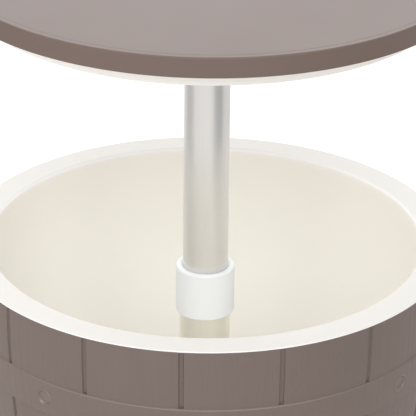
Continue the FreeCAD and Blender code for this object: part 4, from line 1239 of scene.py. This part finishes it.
# %% Screws
HEAD_HEIGHT = 2.6 * MM
HEAD_RADIUS = 4.5 * MM
HEAD_DOME = [(0.0, 0.0), (2.2 * MM, 0.08 * MM), (3.6 * MM, 0.55 * MM), (4.35 * MM, 1.35 * MM)]
HEAD_SHOULDER = 1.9 * MM
SHANK_RADIUS = 2.4 * MM
PLAIN_SHANK = 1.0 * MM
THREAD_PITCH = 1.6 * MM
THREAD_DEPTH = 0.45 * MM
THREAD_END = 3.0 * MM
TIP_LENGTH = 2.6 * MM
CROSS_REACH = 2.5 * MM
CROSS_HALF = 0.45 * MM
CROSS_DEPTH = 1.7 * MM
CROSS_START = -0.5 * MM
CROSS_TAPER = 0.62
SCREW_SEGMENTS = 32


def screw_corners(length):
    """A screw that stands on its head, from the middle of the head to its tip."""
    core = SHANK_RADIUS - THREAD_DEPTH
    level = HEAD_HEIGHT + PLAIN_SHANK
    corners = HEAD_DOME + [(HEAD_RADIUS, HEAD_SHOULDER), (HEAD_RADIUS, HEAD_HEIGHT, 0.15 * MM),
                           (core, HEAD_HEIGHT), (core, level)]
    while level + THREAD_PITCH < length - THREAD_END:
        corners += [(SHANK_RADIUS, level + 0.45 * THREAD_PITCH),
                    (SHANK_RADIUS, level + 0.55 * THREAD_PITCH), (core, level + THREAD_PITCH)]
        level += THREAD_PITCH
    return corners + [(core, length - TIP_LENGTH), (0.0, length)]


def cross_cutter():
    """A tapered cross that stands under a head and reaches into it."""
    arm = [(CROSS_REACH, CROSS_HALF), (CROSS_HALF, CROSS_HALF), (CROSS_HALF, CROSS_REACH)]
    arms = []
    for _ in range(4):
        arms += arm
        arm = [(-y, x) for x, y in arm]
    points = [(x, y, CROSS_START) for x, y in arms]
    points += [(x * CROSS_TAPER, y * CROSS_TAPER, CROSS_DEPTH) for x, y in arms]
    count = len(arms)
    faces = [tuple(range(count)), tuple(range(2 * count - 1, count - 1, -1))]
    faces += [(index, index + count, (index + 1) % count + count, (index + 1) % count)
              for index in range(count)]
    cutter = add_mesh("cross", points, [], faces)
    face_outwards(cutter.data)
    return cutter


for seed, (name, boxes) in enumerate(screw_boxes.items()):
    length = boxes[0][1].z - boxes[0][0].z
    screw = turned(f"one of {name}", screw_corners(length), zinc_steel, SCREW_SEGMENTS)
    cut_away(screw, cross_cutter())
    places = [((low.x + high.x) / 2, (low.y + high.y) / 2, low.z) for low, high in boxes]
    screws = bake(f"{name}_cross_head", point_mesh(name, places), scatter_tree, piece=screw,
                  seed=seed, material=zinc_steel)
    bpy.data.objects.remove(screw)
    settle(screws, SCREW_BODIES[name], "zinc_steel", name)

# %% [markdown]
# The other CAD nodes have the right shape already and keep it. They only get their
# finish, laid into the material slots of their own meshes. A finish has the name of its
# slot in the record.

# %% Finishes for the carried-over nodes
finish_of_slot = {finish.name.replace(" ", "_"): finish for finish in (
    stave_resin, top_resin, cream_resin, white_nylon, dark_nylon, satin_aluminium, zinc_steel,
    soft_rubber)}
slot_of_node = {part["node"]: part["material_slot"] for part in frame["record"]["subparts"]}
for name, node in frame["nodes"].items():
    node.data.materials.clear()
    node.data.materials.append(finish_of_slot[slot_of_node[name]])
print("finished", len(frame["nodes"]), "nodes")

# %% Sizes, then the end
visual_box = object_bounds()
for label, box in {"CAD box": cad_box, "visual box": visual_box}.items():
    print(label, [tuple(round(value, 4) for value in corner) for corner in box])
